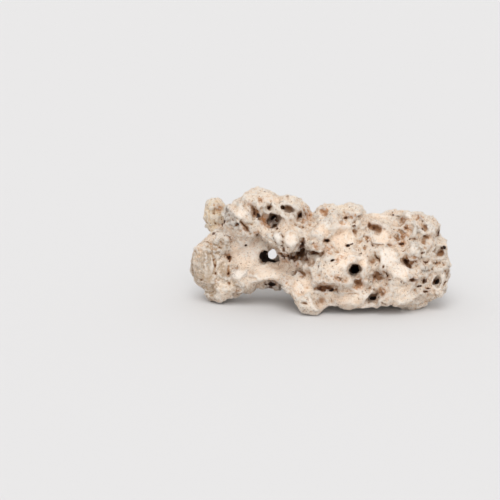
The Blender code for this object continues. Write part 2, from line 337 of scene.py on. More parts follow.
# %% The knobs
# name, across, down, half-width and half-height in pixels, how far it stands out in mm, turn
KNOBS = [
    ("rim light", 239, 272.6, 7.5, 3, 4, -14),
    ("nose", 291.5, 241.5, 9, 13, 4, -6),
    ("cheek", 277.4, 236.5, 4.4, 8, 5.5, 24),
    ("jowl", 270.6, 240, 3, 6, 3, 20),
    ("crown boss", 261.5, 206, 3.2, 3.4, 2.2, 0),
    ("crown brow", 281, 213.5, 5.5, 2.6, 2.5, 10),
    ("crown rim", 264, 228, 6, 2.6, 2.5, -8),
    ("crevice boss", 298.5, 258, 2.8, 3, 3, 0),
    ("crevice lip", 310.5, 248.6, 4.6, 2, 3, -12),
    ("hump lip", 327, 221, 5.5, 4, 2.5, 0),
    ("hump chin", 316, 232, 7, 5, 2.5, 0),
    ("shelf lip", 383, 236.5, 9, 3, 2.5, -4),
    ("plate", 393, 265, 10.5, 17, 4, 28),
    ("plate brow", 381, 250.5, 5, 3, 2.5, -30),
    ("end nodule", 409.5, 213.5, 5.2, 4.8, 4.5, 0),
    ("end block", 415.5, 230, 3.6, 7, 4, -14),
    ("end knob", 432, 229.5, 6.8, 6.2, 6, 0),
    ("end shoulder", 424, 214, 4.5, 3.6, 3, 0),
    ("end coral", 428, 245.5, 5, 4.6, 3.5, 0),
    ("end bulge", 415, 248, 6.2, 8.6, 4.5, 10),
    ("end ring lip", 447.5, 250, 3, 7, 3.5, 12),
    ("end chip", 426, 267, 5, 3, 2.5, 0),
    ("end cheek", 431.5, 290, 4.5, 4, 3, 0),
    ("end heel", 446, 278, 3, 8, 3, -12),
    ("end crumb", 406, 241, 3, 2.4, 2.5, 0),
    ("sill crumb", 386, 291, 5, 3, 2, -20),
    ("knee", 312, 283, 5, 4, 2, 0),
    ("toe", 315, 305, 5, 5, 2, 0),
]
print(len(KNOBS), "knobs")

# %% The hollows and holes of the crown
# name, across, down, half-width and half-height in pixels, depth in mm, turn, how brown (partly stain,
# partly painted shade), how black (painted shade inside it)
HOLLOWS = [
    ("crown den", 272.5, 220.5, 3.8, 5.2, 7, 0, 1, 0.3),
    ("crown dish", 265.5, 220.5, 6.5, 4.5, 4.5, 10, 0.9, 0),
    ("crown valley", 254.8, 210.5, 2.5, 8.4, 6, 31, 0.9, 0.2),
    ("crown pit", 268.9, 207.6, 2.2, 1.8, 6, 0, 1, 0.6),
    ("crown slot", 289.5, 207.6, 6, 2.4, 4.5, -6, 0.55, 0),
    ("crown slot end", 283.5, 206.2, 1.9, 1.9, 8, 0, 1, 0.8),
    ("crown cleft", 300.3, 214.7, 2, 5.6, 7, -39, 1, 0.5),
    ("crown flank", 305.5, 217, 3.6, 6.5, 3, -12, 0.8, 0),
    ("crown ring", 260.5, 199.6, 2.2, 1.8, 2, 0, 0.6, 0),
    ("crown hem", 257.7, 234, 1.8, 1.7, 5, 0, 1, 0.6),
    ("nose pit", 277.6, 228.2, 1.5, 1.4, 4, 0, 1, 0.3),
    ("crown top pit", 288.4, 195.6, 2, 1.1, 3, 10, 0.5, 0),
]
print(len(HOLLOWS), "hollows so far")

# %% Those of the slab and the bowl
HOLLOWS += [
    ("slab hollow", 209.5, 259, 4.2, 11, 1.8, 6, 0, 0),
    ("slab low hollow", 204, 277.5, 8, 5.5, 1.1, -20, 0, 0),
    ("slab second hollow", 222, 262, 3.4, 8, 1.6, 4, 0, 0),
    ("slab neck", 218, 277, 4, 7, 1.2, 20, 0, 0),
    ("slab pit", 228.6, 257.5, 3.6, 1.9, 5, -50, 0.9, 0.5),
    ("slab nick", 193.5, 250.5, 2.6, 1.2, 3, -20, 0.7, 0),
    ("slab toe pit", 215.6, 273.2, 1.2, 1.7, 2.5, 0, 0.8, 0.3),
    ("slab low pit", 201.4, 279.6, 1.3, 1, 2.5, -30, 0.8, 0.3),
    ("bowl pit", 246, 244.8, 1.5, 1.3, 6, 0, 0.6, 1),
    ("tunnel den", 264, 257, 4.6, 5.6, 5, 40, 0.8, 1),
    ("arch ceiling", 272.8, 284.2, 3.6, 1.8, 8, 0, 1, 1),
    ("arch ceiling second", 266, 284.5, 2, 1.4, 4, 0, 1, 0.6),
]
print(len(HOLLOWS), "hollows so far")

# %% Those of the crevice and the leg
HOLLOWS += [
    ("crevice core", 301.5, 250, 4.6, 8.5, 12, -20, 1, 0.25),
    ("crevice left", 296.2, 257.4, 3.8, 3, 8, 0, 1, 0.15),
    ("crevice foot", 306, 259.4, 5.6, 3.6, 7, -20, 1, 0.1),
    ("crevice slot", 314, 252.4, 6.8, 2.8, 8, 3, 1, 0.3),
    ("leg pit", 303.6, 274.6, 3.6, 1.9, 5, -30, 0.9, 0),
    ("leg nick", 293.2, 275.4, 1.6, 0.9, 2.5, 0, 0.8, 0.4),
    ("foot notch", 305.5, 303.6, 3.2, 1.8, 3, -10, 0.4, 0),
    ("foot side", 323, 300.5, 3.2, 4.6, 2, 12, 0.1, 0),
]
print(len(HOLLOWS), "hollows so far")

# %% Those of the hump and the body
HOLLOWS += [
    ("hump den", 325, 211.5, 6, 3.4, 3, -35, 0.6, 0),
    ("hump mark", 346.8, 217, 1.9, 1.3, 3, 0, 1, 0.5),
    ("hump second mark", 352.8, 216.4, 2.2, 1.6, 2, 0, 0.8, 0),
    ("hump nick", 354.6, 225.7, 1.8, 1.1, 3, -10, 0.9, 0.5),
    ("body slot", 327, 240.4, 3.2, 1.5, 6, -10, 1, 0.9),
    ("body pit", 348.2, 245.3, 2.1, 1.9, 7, 0, 0.6, 1),
    ("body second pit", 352.3, 243.6, 1.3, 1, 4, 0, 0.8, 0.7),
    ("body pinhole", 361.3, 253.5, 0.9, 0.9, 3, 0, 0.5, 1),
    ("body smear", 332.7, 260.3, 2.4, 1.4, 5, 8, 0.9, 0.7),
    ("round hole", 355.9, 269.8, 7.4, 6.6, 22, 0, 1, 0.6),
    ("round hole lip", 356.6, 271, 7, 4, 9, 0, 1, 0.4),
    ("round scoop", 362.5, 264, 6.5, 5, 4, 35, 0.2, 0),
    ("body crease", 339, 279, 2, 4, 2.5, 50, 0.35, 0),
    ("first scoop", 360.3, 283, 6, 5.2, 6, -30, 0.5, 0),
    ("second scoop", 379, 276.8, 8, 5, 5, -15, 0.4, 0),
    ("scoop bridge", 369, 280, 5, 2.2, 2.5, 0, 0.5, 0),
    ("groove", 325, 288.6, 11, 4.2, 8, -2, 0.9, 0.25),
    ("groove end", 343, 290.8, 13, 2.3, 3.5, -2, 0.5, 0),
    ("sill slot", 373.8, 298.3, 4.8, 2.2, 9, 6, 1, 1),
    ("sill dish", 382, 293, 5.5, 2.4, 3, -25, 0.3, 0),
]
print(len(HOLLOWS), "hollows so far")

# %% Those of the shelf
HOLLOWS += [
    ("shelf den", 376.5, 227.4, 7.8, 4, 5, -24, 0.6, 0),
    ("shelf den left", 371, 225, 2.2, 3.6, 4, -10, 1, 0.1),
    ("shelf pit", 393.2, 214.8, 1.7, 1.3, 3, 0, 0.8, 0.6),
    ("shelf left", 369, 237.5, 2.2, 2.6, 4, 0, 0.9, 0),
    ("shelf hem", 381, 244.4, 8.5, 1.5, 3, -8, 0.6, 0),
    ("shelf mark", 390.3, 245.4, 2, 0.9, 3, 0, 0.9, 0.3),
    ("end band", 402.5, 219.5, 3.4, 8.5, 3.5, 20, 0.6, 0),
    ("end band foot", 406.8, 227.6, 2.6, 2.4, 6, 0, 1, 0.3),
    ("end crumple", 402.5, 235.5, 3.2, 1.6, 4, -10, 0.8, 0),
    ("end crumple second", 402, 243.8, 3.4, 1.6, 5, 10, 1, 0.6),
    ("end gap", 419, 217, 2.6, 3.6, 5, -30, 0.9, 0),
]
print(len(HOLLOWS), "hollows so far")

# %% Those of the right end
HOLLOWS += [
    ("knob line", 438.4, 233.2, 1.2, 4.6, 4, -16, 0.5, 0.5),
    ("knob hem", 428, 235.6, 3, 1.8, 4, -20, 0.6, 0),
    ("block hem", 415, 238.6, 4.5, 1.2, 3, 0, 0.4, 0),
    ("end ring", 442.6, 252.6, 4.2, 5.4, 5, 10, 0.9, 0),
    ("end ring eye", 444.6, 247.4, 1.8, 1.2, 6, -30, 1, 1),
    ("end bulge nick", 424, 252.5, 1.4, 1.4, 4, 0, 0.8, 0.3),
    ("crook", 408, 261, 1.8, 4.6, 5, 24, 1, 0.2),
    ("crook arm", 414.6, 261.4, 5, 1.6, 4.5, 24, 0.9, 0.2),
    ("crook foot", 410.2, 265.6, 3, 2.2, 4, 0, 0.9, 0.2),
    ("end eye", 436.6, 262.8, 1.8, 1.4, 4, 0, 0.9, 0.5),
    ("end nick", 427, 261.6, 2, 0.9, 3, -30, 0.7, 0),
    ("end dark slot", 437.3, 281.8, 2, 3.9, 8, -24, 1, 1),
    ("end slit", 426, 280.8, 1.3, 3, 5, -6, 0.7, 0.5),
    ("end pit", 415.7, 280.2, 3.4, 1.8, 5, 0, 0.8, 0.3),
    ("end pinhole", 420, 286, 1.3, 1.3, 6, 0, 0.6, 1),
    ("end low pit", 426.4, 291.4, 1.8, 1.2, 4, 0, 0.9, 0.5),
    ("end low second", 429.6, 288.4, 1.8, 0.9, 4, 10, 0.8, 0.4),
    ("end grey dish", 426.5, 270.4, 4, 1.3, 2.5, 0, 0, 0),
    ("end crease", 449, 275, 1.2, 4, 3, -8, 0.4, 0.2),
    ("end low crease", 445.4, 287, 1.1, 4.5, 3, -22, 0.4, 0.2),
]
print(len(HOLLOWS), "hollows and holes")

# %% The creases
# name, the pixels that it runs through, half-width in pixels, depth in mm, how brown (partly stain, partly
# painted shade)
CREASES = [
    ("nose hem", [(282, 245), (284.5, 250.5), (289, 254.5), (293.5, 258)], 1.3, 3.5, 0.9),
    ("nose right", [(303.5, 237), (303.8, 243), (300.5, 249), (296, 257)], 1.6, 4, 0.9),
    ("cheek left", [(272.5, 231), (274, 238), (278, 245.5)], 0.9, 2.2, 0.5),
    ("cheek right", [(279.5, 229.5), (283, 236), (282.8, 243)], 0.9, 2.2, 0.6),
    ("jowl side", [(267, 234.5), (268.5, 241), (272, 247)], 0.8, 1.8, 0.4),
    ("knob rib", [(209, 206), (208.5, 214), (211, 222)], 0.9, 1.1, 0.1),
    ("knob second rib", [(214, 203), (213.5, 212), (215, 222), (214, 230)], 0.9, 1.2, 0.2),
    ("knob third rib", [(219, 206), (219.5, 214), (218.5, 224)], 0.9, 1.1, 0.2),
    ("shoulder edge", [(226, 225), (233, 227.5), (238, 222), (241, 219)], 1, 1.8, 0.3),
    ("crown hem", [(240, 221), (244, 225), (250.5, 233)], 1.1, 3, 0.9),
    ("crown left", [(232, 201), (227, 208), (225, 216)], 1.1, 2.5, 0.7),
    ("crown brow", [(270.6, 200), (271.4, 203), (270.4, 206)], 0.8, 2, 0.8),
    ("shoulder", [(225, 235), (229.5, 236.5), (231.5, 240)], 1, 1.5, 0.7),
    ("slab top", [(200, 243.5), (207, 241.5), (214, 243.5), (221, 247.5)], 0.9, 2, 0.3),
    ("slab furrow", [(211.5, 252), (214, 259), (214.8, 266), (213.6, 273)], 1.3, 2.2, 0),
    ("slab edge", [(225, 253.5), (229.5, 256), (230.2, 261)], 1.2, 3, 0.5),
    ("slab edge low", [(229, 266), (228, 274), (229.5, 284)], 1.4, 2.4, 0),
    ("strut", [(279, 252.5), (284, 255.5), (290, 257)], 1, 3, 0.9),
    ("strut low", [(280, 259.5), (286, 258.5), (293, 257.5)], 0.8, 2.5, 0.9),
    ("nose side", [(300.5, 240), (303.5, 243.5), (304.5, 248)], 1.1, 3, 0.9),
    ("arch rim", [(262, 279.5), (270, 278.8), (278, 279), (284, 281)], 0.7, 1.5, 0.5),
    ("hump foot", [(363.5, 214), (360, 218), (354.5, 222), (351, 225)], 0.7, 1.2, 0.4),
    ("hump seam", [(342, 206), (338, 213), (343, 218), (353, 219)], 0.8, 1.5, 0.6),
    ("body arc", [(366, 236), (369, 240), (374, 244.5), (380, 246)], 1, 3, 0.7),
    ("plate side", [(376, 252), (379.5, 258), (385, 266), (388, 273)], 1.2, 2.5, 0.4),
    ("plate foot", [(388, 273), (391.5, 279), (387, 285)], 0.9, 2, 0.4),
    ("scoop side", [(386, 271.5), (389.5, 276), (388, 282)], 1, 2.5, 0.7),
    ("body wrinkle", [(333, 276), (337, 276.5), (341, 279), (344, 282)], 0.8, 2, 0.7),
    ("end side", [(451, 271), (449.5, 275.5), (447.5, 282), (445, 288)], 1, 2.5, 0.6),
    ("end fold", [(425, 220), (424, 228), (425.5, 235)], 1, 3, 0.6),
    ("end fold low", [(418, 246), (424, 250), (423, 257), (419, 261)], 0.9, 2.5, 0.6),
    ("end seam", [(433, 256), (430, 262), (434, 268), (432, 276)], 0.8, 2, 0.5),
    ("sill top", [(326, 293.5), (340, 294), (356, 293.5), (366, 294.5)], 0.8, 1.5, 0.4),
    ("sill end", [(378, 300), (384, 303), (388, 305)], 0.8, 2, 0.6),
    ("knee side", [(296, 282), (300, 287), (305, 290)], 0.7, 1.2, 0.25),
]
print(len(CREASES), "creases")

# %% The pads
# A pad thickens a wall that is too thin, or narrows a gap that is too wide.
# name, place in mm, the way into the stone, half-width and half-height in mm, how thick in mm
PADS = [
    ("tunnel left wall", (-58.5, 10, 54), (-1, 0.3, 0), 24, 10, 7.5),
    ("tunnel ceiling", (-50, 1, 64), (0, 0.2, 1), 9, 11, 2.6),
    ("tunnel mouth", (-69, -18, 56), (-0.5, 1, 0), 5, 7, 4),
    ("knob left", (-119, 26, 106), (1, 0.3, 0), 9, 5, 0.8),
    ("knob right", (-104, 26, 99), (-1, 0.2, 0), 9, 8, 2.5),
    ("knob neck", (-108, 14, 77), (1, 0, 0), 12, 8, 4),
    ("saddle", (-13.5, -3, 92), (0, 1, 0), 6, 5, 13),
    ("end side", (136, -4, 40), (-1, 0.3, 0), 16, 13, 4.5),
    ("sill under", (38, -34, 6), (0, 0.4, 1), 34, 10, 2.5),
    ("left tip", (-107, -3, 8), (0, 0.3, 1), 10, 8, 4),
    ("arch right", (-41, 3, 24), (0, 0.1, 1), 14, 14, 9.5),
    ("arch curtain", (-54, 2, 22), (0, 0.1, 1), 15, 11, 6),
]
print(len(PADS), "pads")

# %% The fills
# A gap with no floor to put a pad on is filled up to a plane.
# name, place in mm, yaw to the right and pitch up in degrees, radius in mm
FILLS = [
    ("hump side", (47, -15, 94), 32, 20, 13),
    ("hump back", (38.5, -21, 97), 25, 25, 9),
    ("den left", (-61, -19, 95), 45, 0, 8),
    ("den right", (-40.5, -23, 96), 0, 0, 5),
    ("den sill", (-51, -22, 84.5), 0, 0, 6.5),
    ("den sill left", (-58.5, -19, 85), 0, 0, 6),
    ("crevice top", (-14, -34, 78), 0, 0, 7.5),
    ("slot sill", (55, -42, 8.5), 0, -10, 6.5),
    ("slot sill left", (46.5, -43, 11), 0, -10, 6.5),
]
print(len(FILLS), "fills")

# %% The flat facets
# Limestone also breaks along flat planes, which catch the light as a whole.
# name, across, down, radius in pixels, depth in mm, yaw to the right and pitch up in degrees
FACETS = [
    ("slab face", 205, 264, 17, 2.2, -14, 0),
    ("slab side", 226, 268, 9, 1.2, 22, -4),
    ("slab foot", 208, 290, 11, 1.6, -30, -28),
    ("slab corner", 197, 284, 12, 3.6, -52, -38),
    ("slab shoulder", 207, 246, 8, 1, -10, 50),
    ("slab toe", 232, 290, 10, 1.2, 14, -32),
    ("rim lip", 239, 272.3, 6.5, 1.6, -8, 48),
    ("leg face", 302, 286, 11, 1.4, -8, 8),
    ("foot face", 314, 304, 7, 1, 10, -6),
    ("nose face", 291, 240, 9, 2, 2, 4),
    ("nose left", 286, 248, 6, 2.2, -45, -12),
    ("nose right", 299, 248, 6, 2.2, 45, -12),
    ("plate face", 388, 258, 12, 2.8, 14, 6),
    ("plate low", 399, 272, 12, 2.8, 14, 6),
    ("body face", 345, 240, 13, 1, -2, 14),
    ("hump face", 327, 224, 8, 1.2, 6, 40),
    ("shelf face", 383, 236, 9, 1, 0, 34),
    ("end foot face", 408, 294, 12, 1.4, 4, -10),
    ("crown left face", 232, 216, 9, 1.6, -40, 20),
    ("knob face", 212, 214, 8, 1.2, -20, 0),
]


def turned_to(yaw, pitch):
    """The direction to the camera, turned to the right by yaw and up by pitch."""
    yaw, pitch = math.radians(yaw), math.radians(pitch)
    level = -SIGHT_AHEAD * math.cos(yaw) + SIGHT_RIGHT * math.sin(yaw)
    return (level * math.cos(pitch) + SIGHT_UP * math.sin(pitch)).normalized()


print(len(FACETS), "facets")

# %% [markdown]
# ## Shaping in passes
# Knobs and hollows stretch the net where they are steep, so a finer remesh follows the big ones.
# A knob is pulled out of a shallow moat, so that it stands clear of its neighbours and the outline
# doesn't swell. Later the whole skin is shoved about by noise, sideways as well as up and down.
# That turns the clean ovals into the ragged lips that water leaves.

# %% Shape the big forms
BIG_HOLLOW = 4.0  # mm deep: a shallower hollow waits for the second pass
SKIN_VOXEL = 0.95 * MM
PAD_REACH = 13 * MM  # a pad leaves walls farther off than this alone
MOAT_WIDTH, MOAT_SHARE = 1.35, 0.35  # how much wider than its knob, how deep for its height


def work_marks(clay, marks, share):
    """Presses each mark in where it is seen, by this share of its depth. A minus pulls it out."""
    for _, across, down, half_width, half_height, depth, turn, *_ in marks:
        axes = egg_axes(sight(across, down), turn)
        spot = seen_at(clay.tree, across, down)
        press(clay, spot, axes, half_width * PIXEL, half_height * PIXEL, share * depth * MM)


clay = Clay(stone)
moats = [(name, across, down, MOAT_WIDTH * wide, MOAT_WIDTH * tall, height, turn)
         for name, across, down, wide, tall, height, turn in KNOBS]
work_marks(clay, moats, MOAT_SHARE)
work_marks(clay, KNOBS, -1 - MOAT_SHARE)
for _, place, inward, half_width, half_height, thick in PADS:
    axes = egg_axes(inward, 0)
    press(clay, Vector(place) * MM, axes, half_width * MM, half_height * MM, -thick * MM, PAD_REACH)
for _, place, yaw, pitch, radius in FILLS:
    fill(clay, Vector(place) * MM, turned_to(yaw, pitch), radius * MM)
clay.done()
clay = Clay(stone)
for _, across, down, radius, depth, yaw, pitch in FACETS:
    spot = seen_at(clay.tree, across, down)
    shave(clay, spot, turned_to(yaw, pitch), radius * PIXEL, depth * MM)
work_marks(clay, [mark for mark in HOLLOWS if mark[5] >= BIG_HOLLOW], 1)
clay.done()
remeshed(stone, SKIN_VOXEL, 1)
print("shaped:", len(stone.data.vertices), "points")

# %% [markdown]
# ## All round
# The same water worked on every side, so bites and broken facets are scattered over the whole
# stone from one seed. Each takes a random place in the stone's box and moves to the surface nearest
# it. Picking random points of the mesh would be simpler, but then any change to the mesh would
# throw every bite somewhere else. They stay off the smooth places, which are listed first.

# %% Smooth places
# name, across, down, radius in pixels, how much of the relief is left there
SMOOTH = [
    ("bowl", 247, 251, 21, 0.08),
    ("bowl right", 262, 268, 9, 0.20),
    ("rim", 268, 273, 18, 0.25),
    ("rim light", 239, 273, 9, 0.08),
    ("nose", 291, 240, 9, 0.25),
    ("cheek", 276, 238, 6, 0.35),
    ("slab", 205, 267, 21, 0.20),
    ("slab second", 224, 266, 13, 0.20),
    ("slab foot", 224, 290, 16, 0.40),
    ("crown knob", 241, 213, 7, 0.35),
    ("crown shoulder", 262, 227, 8, 0.40),
    ("crown top", 272, 195, 12, 0.60),
    ("leg", 302, 287, 12, 0.35),
    ("toe", 313, 305, 8, 0.45),
    ("plate", 388, 258, 12, 0.20),
    ("plate low", 400, 271, 11, 0.20),
    ("groove", 327, 288, 12, 0.40),
    ("den", 266, 222, 9, 0.40),
    ("body", 345, 235, 17, 0.25),
    ("body left", 322, 228, 9, 0.40),
    ("body middle", 345, 258, 12, 0.35),
    ("body low", 335, 270, 12, 0.50),
    ("round scoop", 362, 262, 8, 0.20),
    ("hump", 340, 207, 12, 0.55),
    ("shelf top", 382, 213, 12, 0.40),
    ("shelf face", 382, 236, 10, 0.30),
    ("sill", 355, 302, 20, 0.45),
    ("end foot", 406, 295, 14, 0.50),
    ("end knob", 432, 229, 6, 0.35),
    ("end nodule", 409.5, 213.5, 6, 0.35),
    ("end block", 415.5, 230, 6, 0.40),
    ("end bulge", 415, 248, 8, 0.45),
]
SMOOTH_CORE = 0.55  # of the radius: inside it the place is as smooth as stated


def relief_left(points):
    share = np.ones(len(points))
    for spot, radius, left in smooth_spots:
        reach = np.linalg.norm(points - spot, axis=1) / radius
        share *= left + (1 - left) * ramp(reach, SMOOTH_CORE, 1.0)
    return share


clay = Clay(stone)
smooth_spots = [(np.array(seen_at(clay.tree, across, down)), radius * PIXEL, left)
                for _, across, down, radius, left in SMOOTH]
print(len(SMOOTH), "smooth places")

# %% Scatter bites and broken facets
SEED = 29
# how many, radius in mm, depth in mm
FACETS_OF_SIZE = ((80, (9.0, 16.0), (0.9, 2.4)), (260, (4.0, 9.0), (0.4, 1.4)))
FACET_TILT = 0.35  # the most that a facet leans, each way
BITE_COUNT, BITE_RADIUS, BITE_DEPTH = 380, (1.6, 4.0), (1.0, 4.0)
BITE_NARROWING, BITE_FLATTENING = (0.6, 1.0), (0.5, 1.0)
BITE_STEEPEST = 1.2  # a bite's depth is at most this share of its half-height
FACETS_FROM, BITES_FROM = 0.6, 0.65  # relief left: a smoother place gets no facet, no bite


def scattered(count, least_share):
    """Random places on the surface, with the way it faces, where the relief is strong enough."""
    found = []
    while len(found) < count:
        inside = [chance.uniform(low, high) for low, high in zip(cad_low, cad_high)]
        spot, facing, *_ = clay.tree.find_nearest(inside)
        if relief_left(np.array([spot]))[0] >= least_share:
            found.append((spot, facing))
    return found


chance = random.Random(SEED)
for count, radii, depths in FACETS_OF_SIZE:
    for spot, facing in scattered(count, FACETS_FROM):
        tilt = Vector([chance.uniform(-FACET_TILT, FACET_TILT) for _ in range(3)])
        radius, depth = chance.uniform(*radii), chance.uniform(*depths)
        shave(clay, spot, (facing + tilt).normalized(), radius * MM, depth * MM)
for spot, facing in scattered(BITE_COUNT, BITES_FROM):
    wide = chance.uniform(*BITE_RADIUS) * chance.uniform(*BITE_NARROWING)
    tall = wide * chance.uniform(*BITE_FLATTENING)
    depth = min(chance.uniform(*BITE_DEPTH), BITE_STEEPEST * tall)
    axes = egg_axes(-facing, chance.uniform(0, 180))
    press(clay, spot, axes, wide * MM, tall * MM, depth * MM)
clay.done()
print("scattered", sum(size[0] for size in FACETS_OF_SIZE), "facets and", BITE_COUNT, "bites")

# %% [markdown]
# ## The skin
# Water has worked on this stone at every size. Several kinds of relief are added up at each point,
# and the point moves along its normal by the sum: shallow cups with sharp ridges between them,
# knuckles with dark gaps on the knobbly end, crags, and round pores. Wide slow noise says where
# each kind is strong, so that smooth and broken places alternate as they do on the stone. A
# Displace modifier with one texture would be shorter, but it can't mix kinds by place.

# %% Cups and knuckles: how far they stand in or out, in mm
CUP_SPACING, CUP_DEPTH, CUP_LEVEL = 6.5, 0.7, 0.25  # at its level a cup meets the surface
KNUCKLE_SPACING, KNUCKLE_HEIGHT, KNUCKLE_LEVEL = 8.0, 1.3, 0.45
GAP_DEPTH, GAP_WIDTH = 1.8, 0.10  # mm, and a share of the spacing


def cups(place):
    distances, _ = noise.voronoi(place / CUP_SPACING)
    return CUP_DEPTH * (distances[0] * distances[0] - CUP_LEVEL)


def knuckles(place):
    distances, _ = noise.voronoi(place / KNUCKLE_SPACING)
    gap = (distances[1] - distances[0]) / GAP_WIDTH
    return KNUCKLE_HEIGHT * (KNUCKLE_LEVEL - distances[0] ** 2) - GAP_DEPTH * math.exp(-gap * gap)


print(f"cups every {CUP_SPACING} mm, knuckles every {KNUCKLE_SPACING} mm")

# %% Crags, chips and pores
CRAG_SPACING, CRAG_HEIGHT, CRAG_LEVEL = 9.0, 0.6, 1.1
CRAG_SHAPE = (0.8, 2.2, 4, 1.0, 2.0)  # of the ridged noise: dimension, step in size, layers, offset, gain
CHIPS = ((9.0, 0.22), (4.2, 0.26))  # spacing, how steep the broken faces lean
PORE_SPACING, PORE_DEPTH = 6.0, 2.2
PORE_WIDTHS = (0.14, 0.2)  # of the spacing: the narrowest, and how much wider luck makes it
PORE_LUCK = 0.25  # cells with less luck than this have no pore
LEAN_DRAW, LUCK_DRAW = 17.3, 37.7  # spread a cell's centre far enough to read a new random value


def crags(place):
    return CRAG_HEIGHT * (noise.ridged_multi_fractal(place / CRAG_SPACING, *CRAG_SHAPE) - CRAG_LEVEL)


def chips(place):
    """Small flat breaks, one to a cell, each leaning its own way."""
    total = 0.0
    for spacing, lean in CHIPS:
        _, centres = noise.voronoi(place / spacing)
        tilt = noise.cell_vector(centres[0] * LEAN_DRAW)
        total += lean * spacing * tilt.dot(place / spacing - centres[0])
    return total


def pores(place):
    """Round holes in some of the cells, each of its own size."""
    distances, centres = noise.voronoi(place / PORE_SPACING)
    luck = noise.cell(centres[0] * LUCK_DRAW)
    width = PORE_WIDTHS[0] + PORE_WIDTHS[1] * abs(luck)
    if luck < PORE_LUCK or distances[0] > width:
        return 0.0
    return -PORE_DEPTH * luck * math.sqrt(1 - (distances[0] / width) ** 2)


print(f"crags every {CRAG_SPACING} mm, pores up to {PORE_DEPTH} mm deep")

# %% Add the kinds of relief up
CUPS_ALWAYS, CHIPS_ALWAYS, CRAGS_ALWAYS = 0.3, 0.5, 0.25  # strength where the stone isn't broken
CUPS_LOST, CRAGS_LOST = 0.8, 0.5  # how much weaker they are on the knobbly end


def relief(place, broken, end):
    """How far the skin stands out at a place, in mm."""
    total = cups(place) * (CUPS_ALWAYS + (1 - CUPS_ALWAYS) * broken) * (1 - CUPS_LOST * end)
    total += chips(place) * (CHIPS_ALWAYS + (1 - CHIPS_ALWAYS) * broken)
    total += crags(place) * (CRAGS_ALWAYS + (1 - CRAGS_ALWAYS) * broken) * (1 - CRAGS_LOST * end)
    total += pores(place)
    if end > 0:
        total += knuckles(place) * end
    return total


middle = (Vector(cad_low) + Vector(cad_high)) / 2 / MM
print(f"relief at the middle of the box: {relief(middle, 1, 0):.2f} mm")

# %% Raise the skin
SHOVES = ((12.0, 1.2), (5.0, 0.8), (2.4, 0.5))  # noise spacing, how far it shoves
SHOVE_ALWAYS = 0.3  # how much of a shove is left on the smoothest place
BROKEN_SPACING, BROKEN_RAMP = 24.0, (-0.3, 0.3)  # mm, and the noise from smooth to broken
END_STARTS, END_FULL = 62, 92  # mm along X: where the knobbly end begins, and where it is full


def noise_at(points, spacing):
    """A smooth random value at each point, about -1 to 1, that changes over this many mm."""
    return np.array([noise.noise(place) for place in (points / (spacing * MM)).tolist()])


points = points_of(stone.data)
for spacing, reach in SHOVES:
    share = SHOVE_ALWAYS + (1 - SHOVE_ALWAYS) * relief_left(points)
    points = points + shifts_at(points, spacing) * reach * MM * share[:, None]
put_points(stone.data, points)
facings = facings_of(stone.data)
broken = ramp(noise_at(points, BROKEN_SPACING), *BROKEN_RAMP)
end = ramp(points[:, 0], END_STARTS * MM, END_FULL * MM)
heights = np.array([relief(Vector(place), *sides) for place, *sides in zip(points / MM, broken, end)])
heights *= relief_left(points)
put_points(stone.data, points + facings * heights[:, None] * MM)
remeshed(stone, SKIN_VOXEL, 0)
print(f"skin from {heights.min():.1f} to {heights.max():.1f} mm,", len(stone.data.vertices), "points")

# %% [markdown]
# ## Small marks
# The small pits and the creases come last, so that they stay crisp, with a fine grain over all.
# The grain could be left to the material's bump, but then the exported shape would lack it.

# %% Press the small hollows, cut the creases and add grain
GRAIN = ((3.4, 0.34), (1.8, 0.30))  # noise spacing, height, in mm
GRAIN_ALWAYS = 0.4  # how much of it is left on the smoothest place
CREASE_WIDEN = 1.3
SMALL_HOLLOW = 2.0  # half-width in pixels: a smaller hollow is pressed here again
CRISPER = 0.3  # the share of its depth that a big hollow is pressed once more

clay = Clay(stone)
small = [mark for mark in HOLLOWS if mark[5] < BIG_HOLLOW or mark[3] < SMALL_HOLLOW]
work_marks(clay, small, 1)
work_marks(clay, [mark for mark in HOLLOWS if mark not in small], CRISPER)
for _, pixels, half_width, depth, _ in CREASES:
    spots = [seen_at(clay.tree, *pixel) for pixel in pixels]
    for pixel, start, end in zip(pixels, spots, spots[1:]):
        score(clay, start, end, sight(*pixel), half_width * PIXEL * CREASE_WIDEN, depth * MM)
for spacing, height in GRAIN:
    share = GRAIN_ALWAYS + (1 - GRAIN_ALWAYS) * relief_left(clay.points)
    clay.points += clay.facings * (noise_at(clay.points, spacing) * height * MM * share)[:, None]
clay.done()
print(len(small), "small hollows, the creases and", len(GRAIN), "sizes of grain")

# %% [markdown]
# ## Thin and fit
# Where a tool cut a thin fin off, a crumb hangs in the air, so all but the biggest shell is
# dropped. The mesh is then thinned to what a shared part may weigh. Decimate takes points from
# the smooth places first, where a coarser remesh would blur the pits too. Last, the stone is set on
# the same ground and fitted to the same box as the frame's solid, so the skin changes no size.

# %% Drop the loose crumbs
def crumbs_of(bm):
    """The points that aren't joined to the biggest shell."""
    shells, left = [], set(bm.verts)
    while left:
        shell, rim = set(), {left.pop()}
        while rim:
            shell |= rim
            rim = {edge.other_vert(point) for point in rim for edge in point.link_edges} - shell
        left -= shell
        shells.append(shell)
    shells.sort(key=len)
    return [point for shell in shells[:-1] for point in shell]


bm = bmesh.new()
bm.from_mesh(stone.data)
crumbs = crumbs_of(bm)
bmesh.ops.delete(bm, geom=crumbs, context="VERTS")
bm.to_mesh(stone.data)
bm.free()
print("dropped", len(crumbs), "points of loose crumbs")

# %% Thin the mesh and fit it to the frame's box
MOST_TRIANGLES = 196000


def triangle_count(mesh):
    return sum(len(face.vertices) - 2 for face in mesh.polygons)


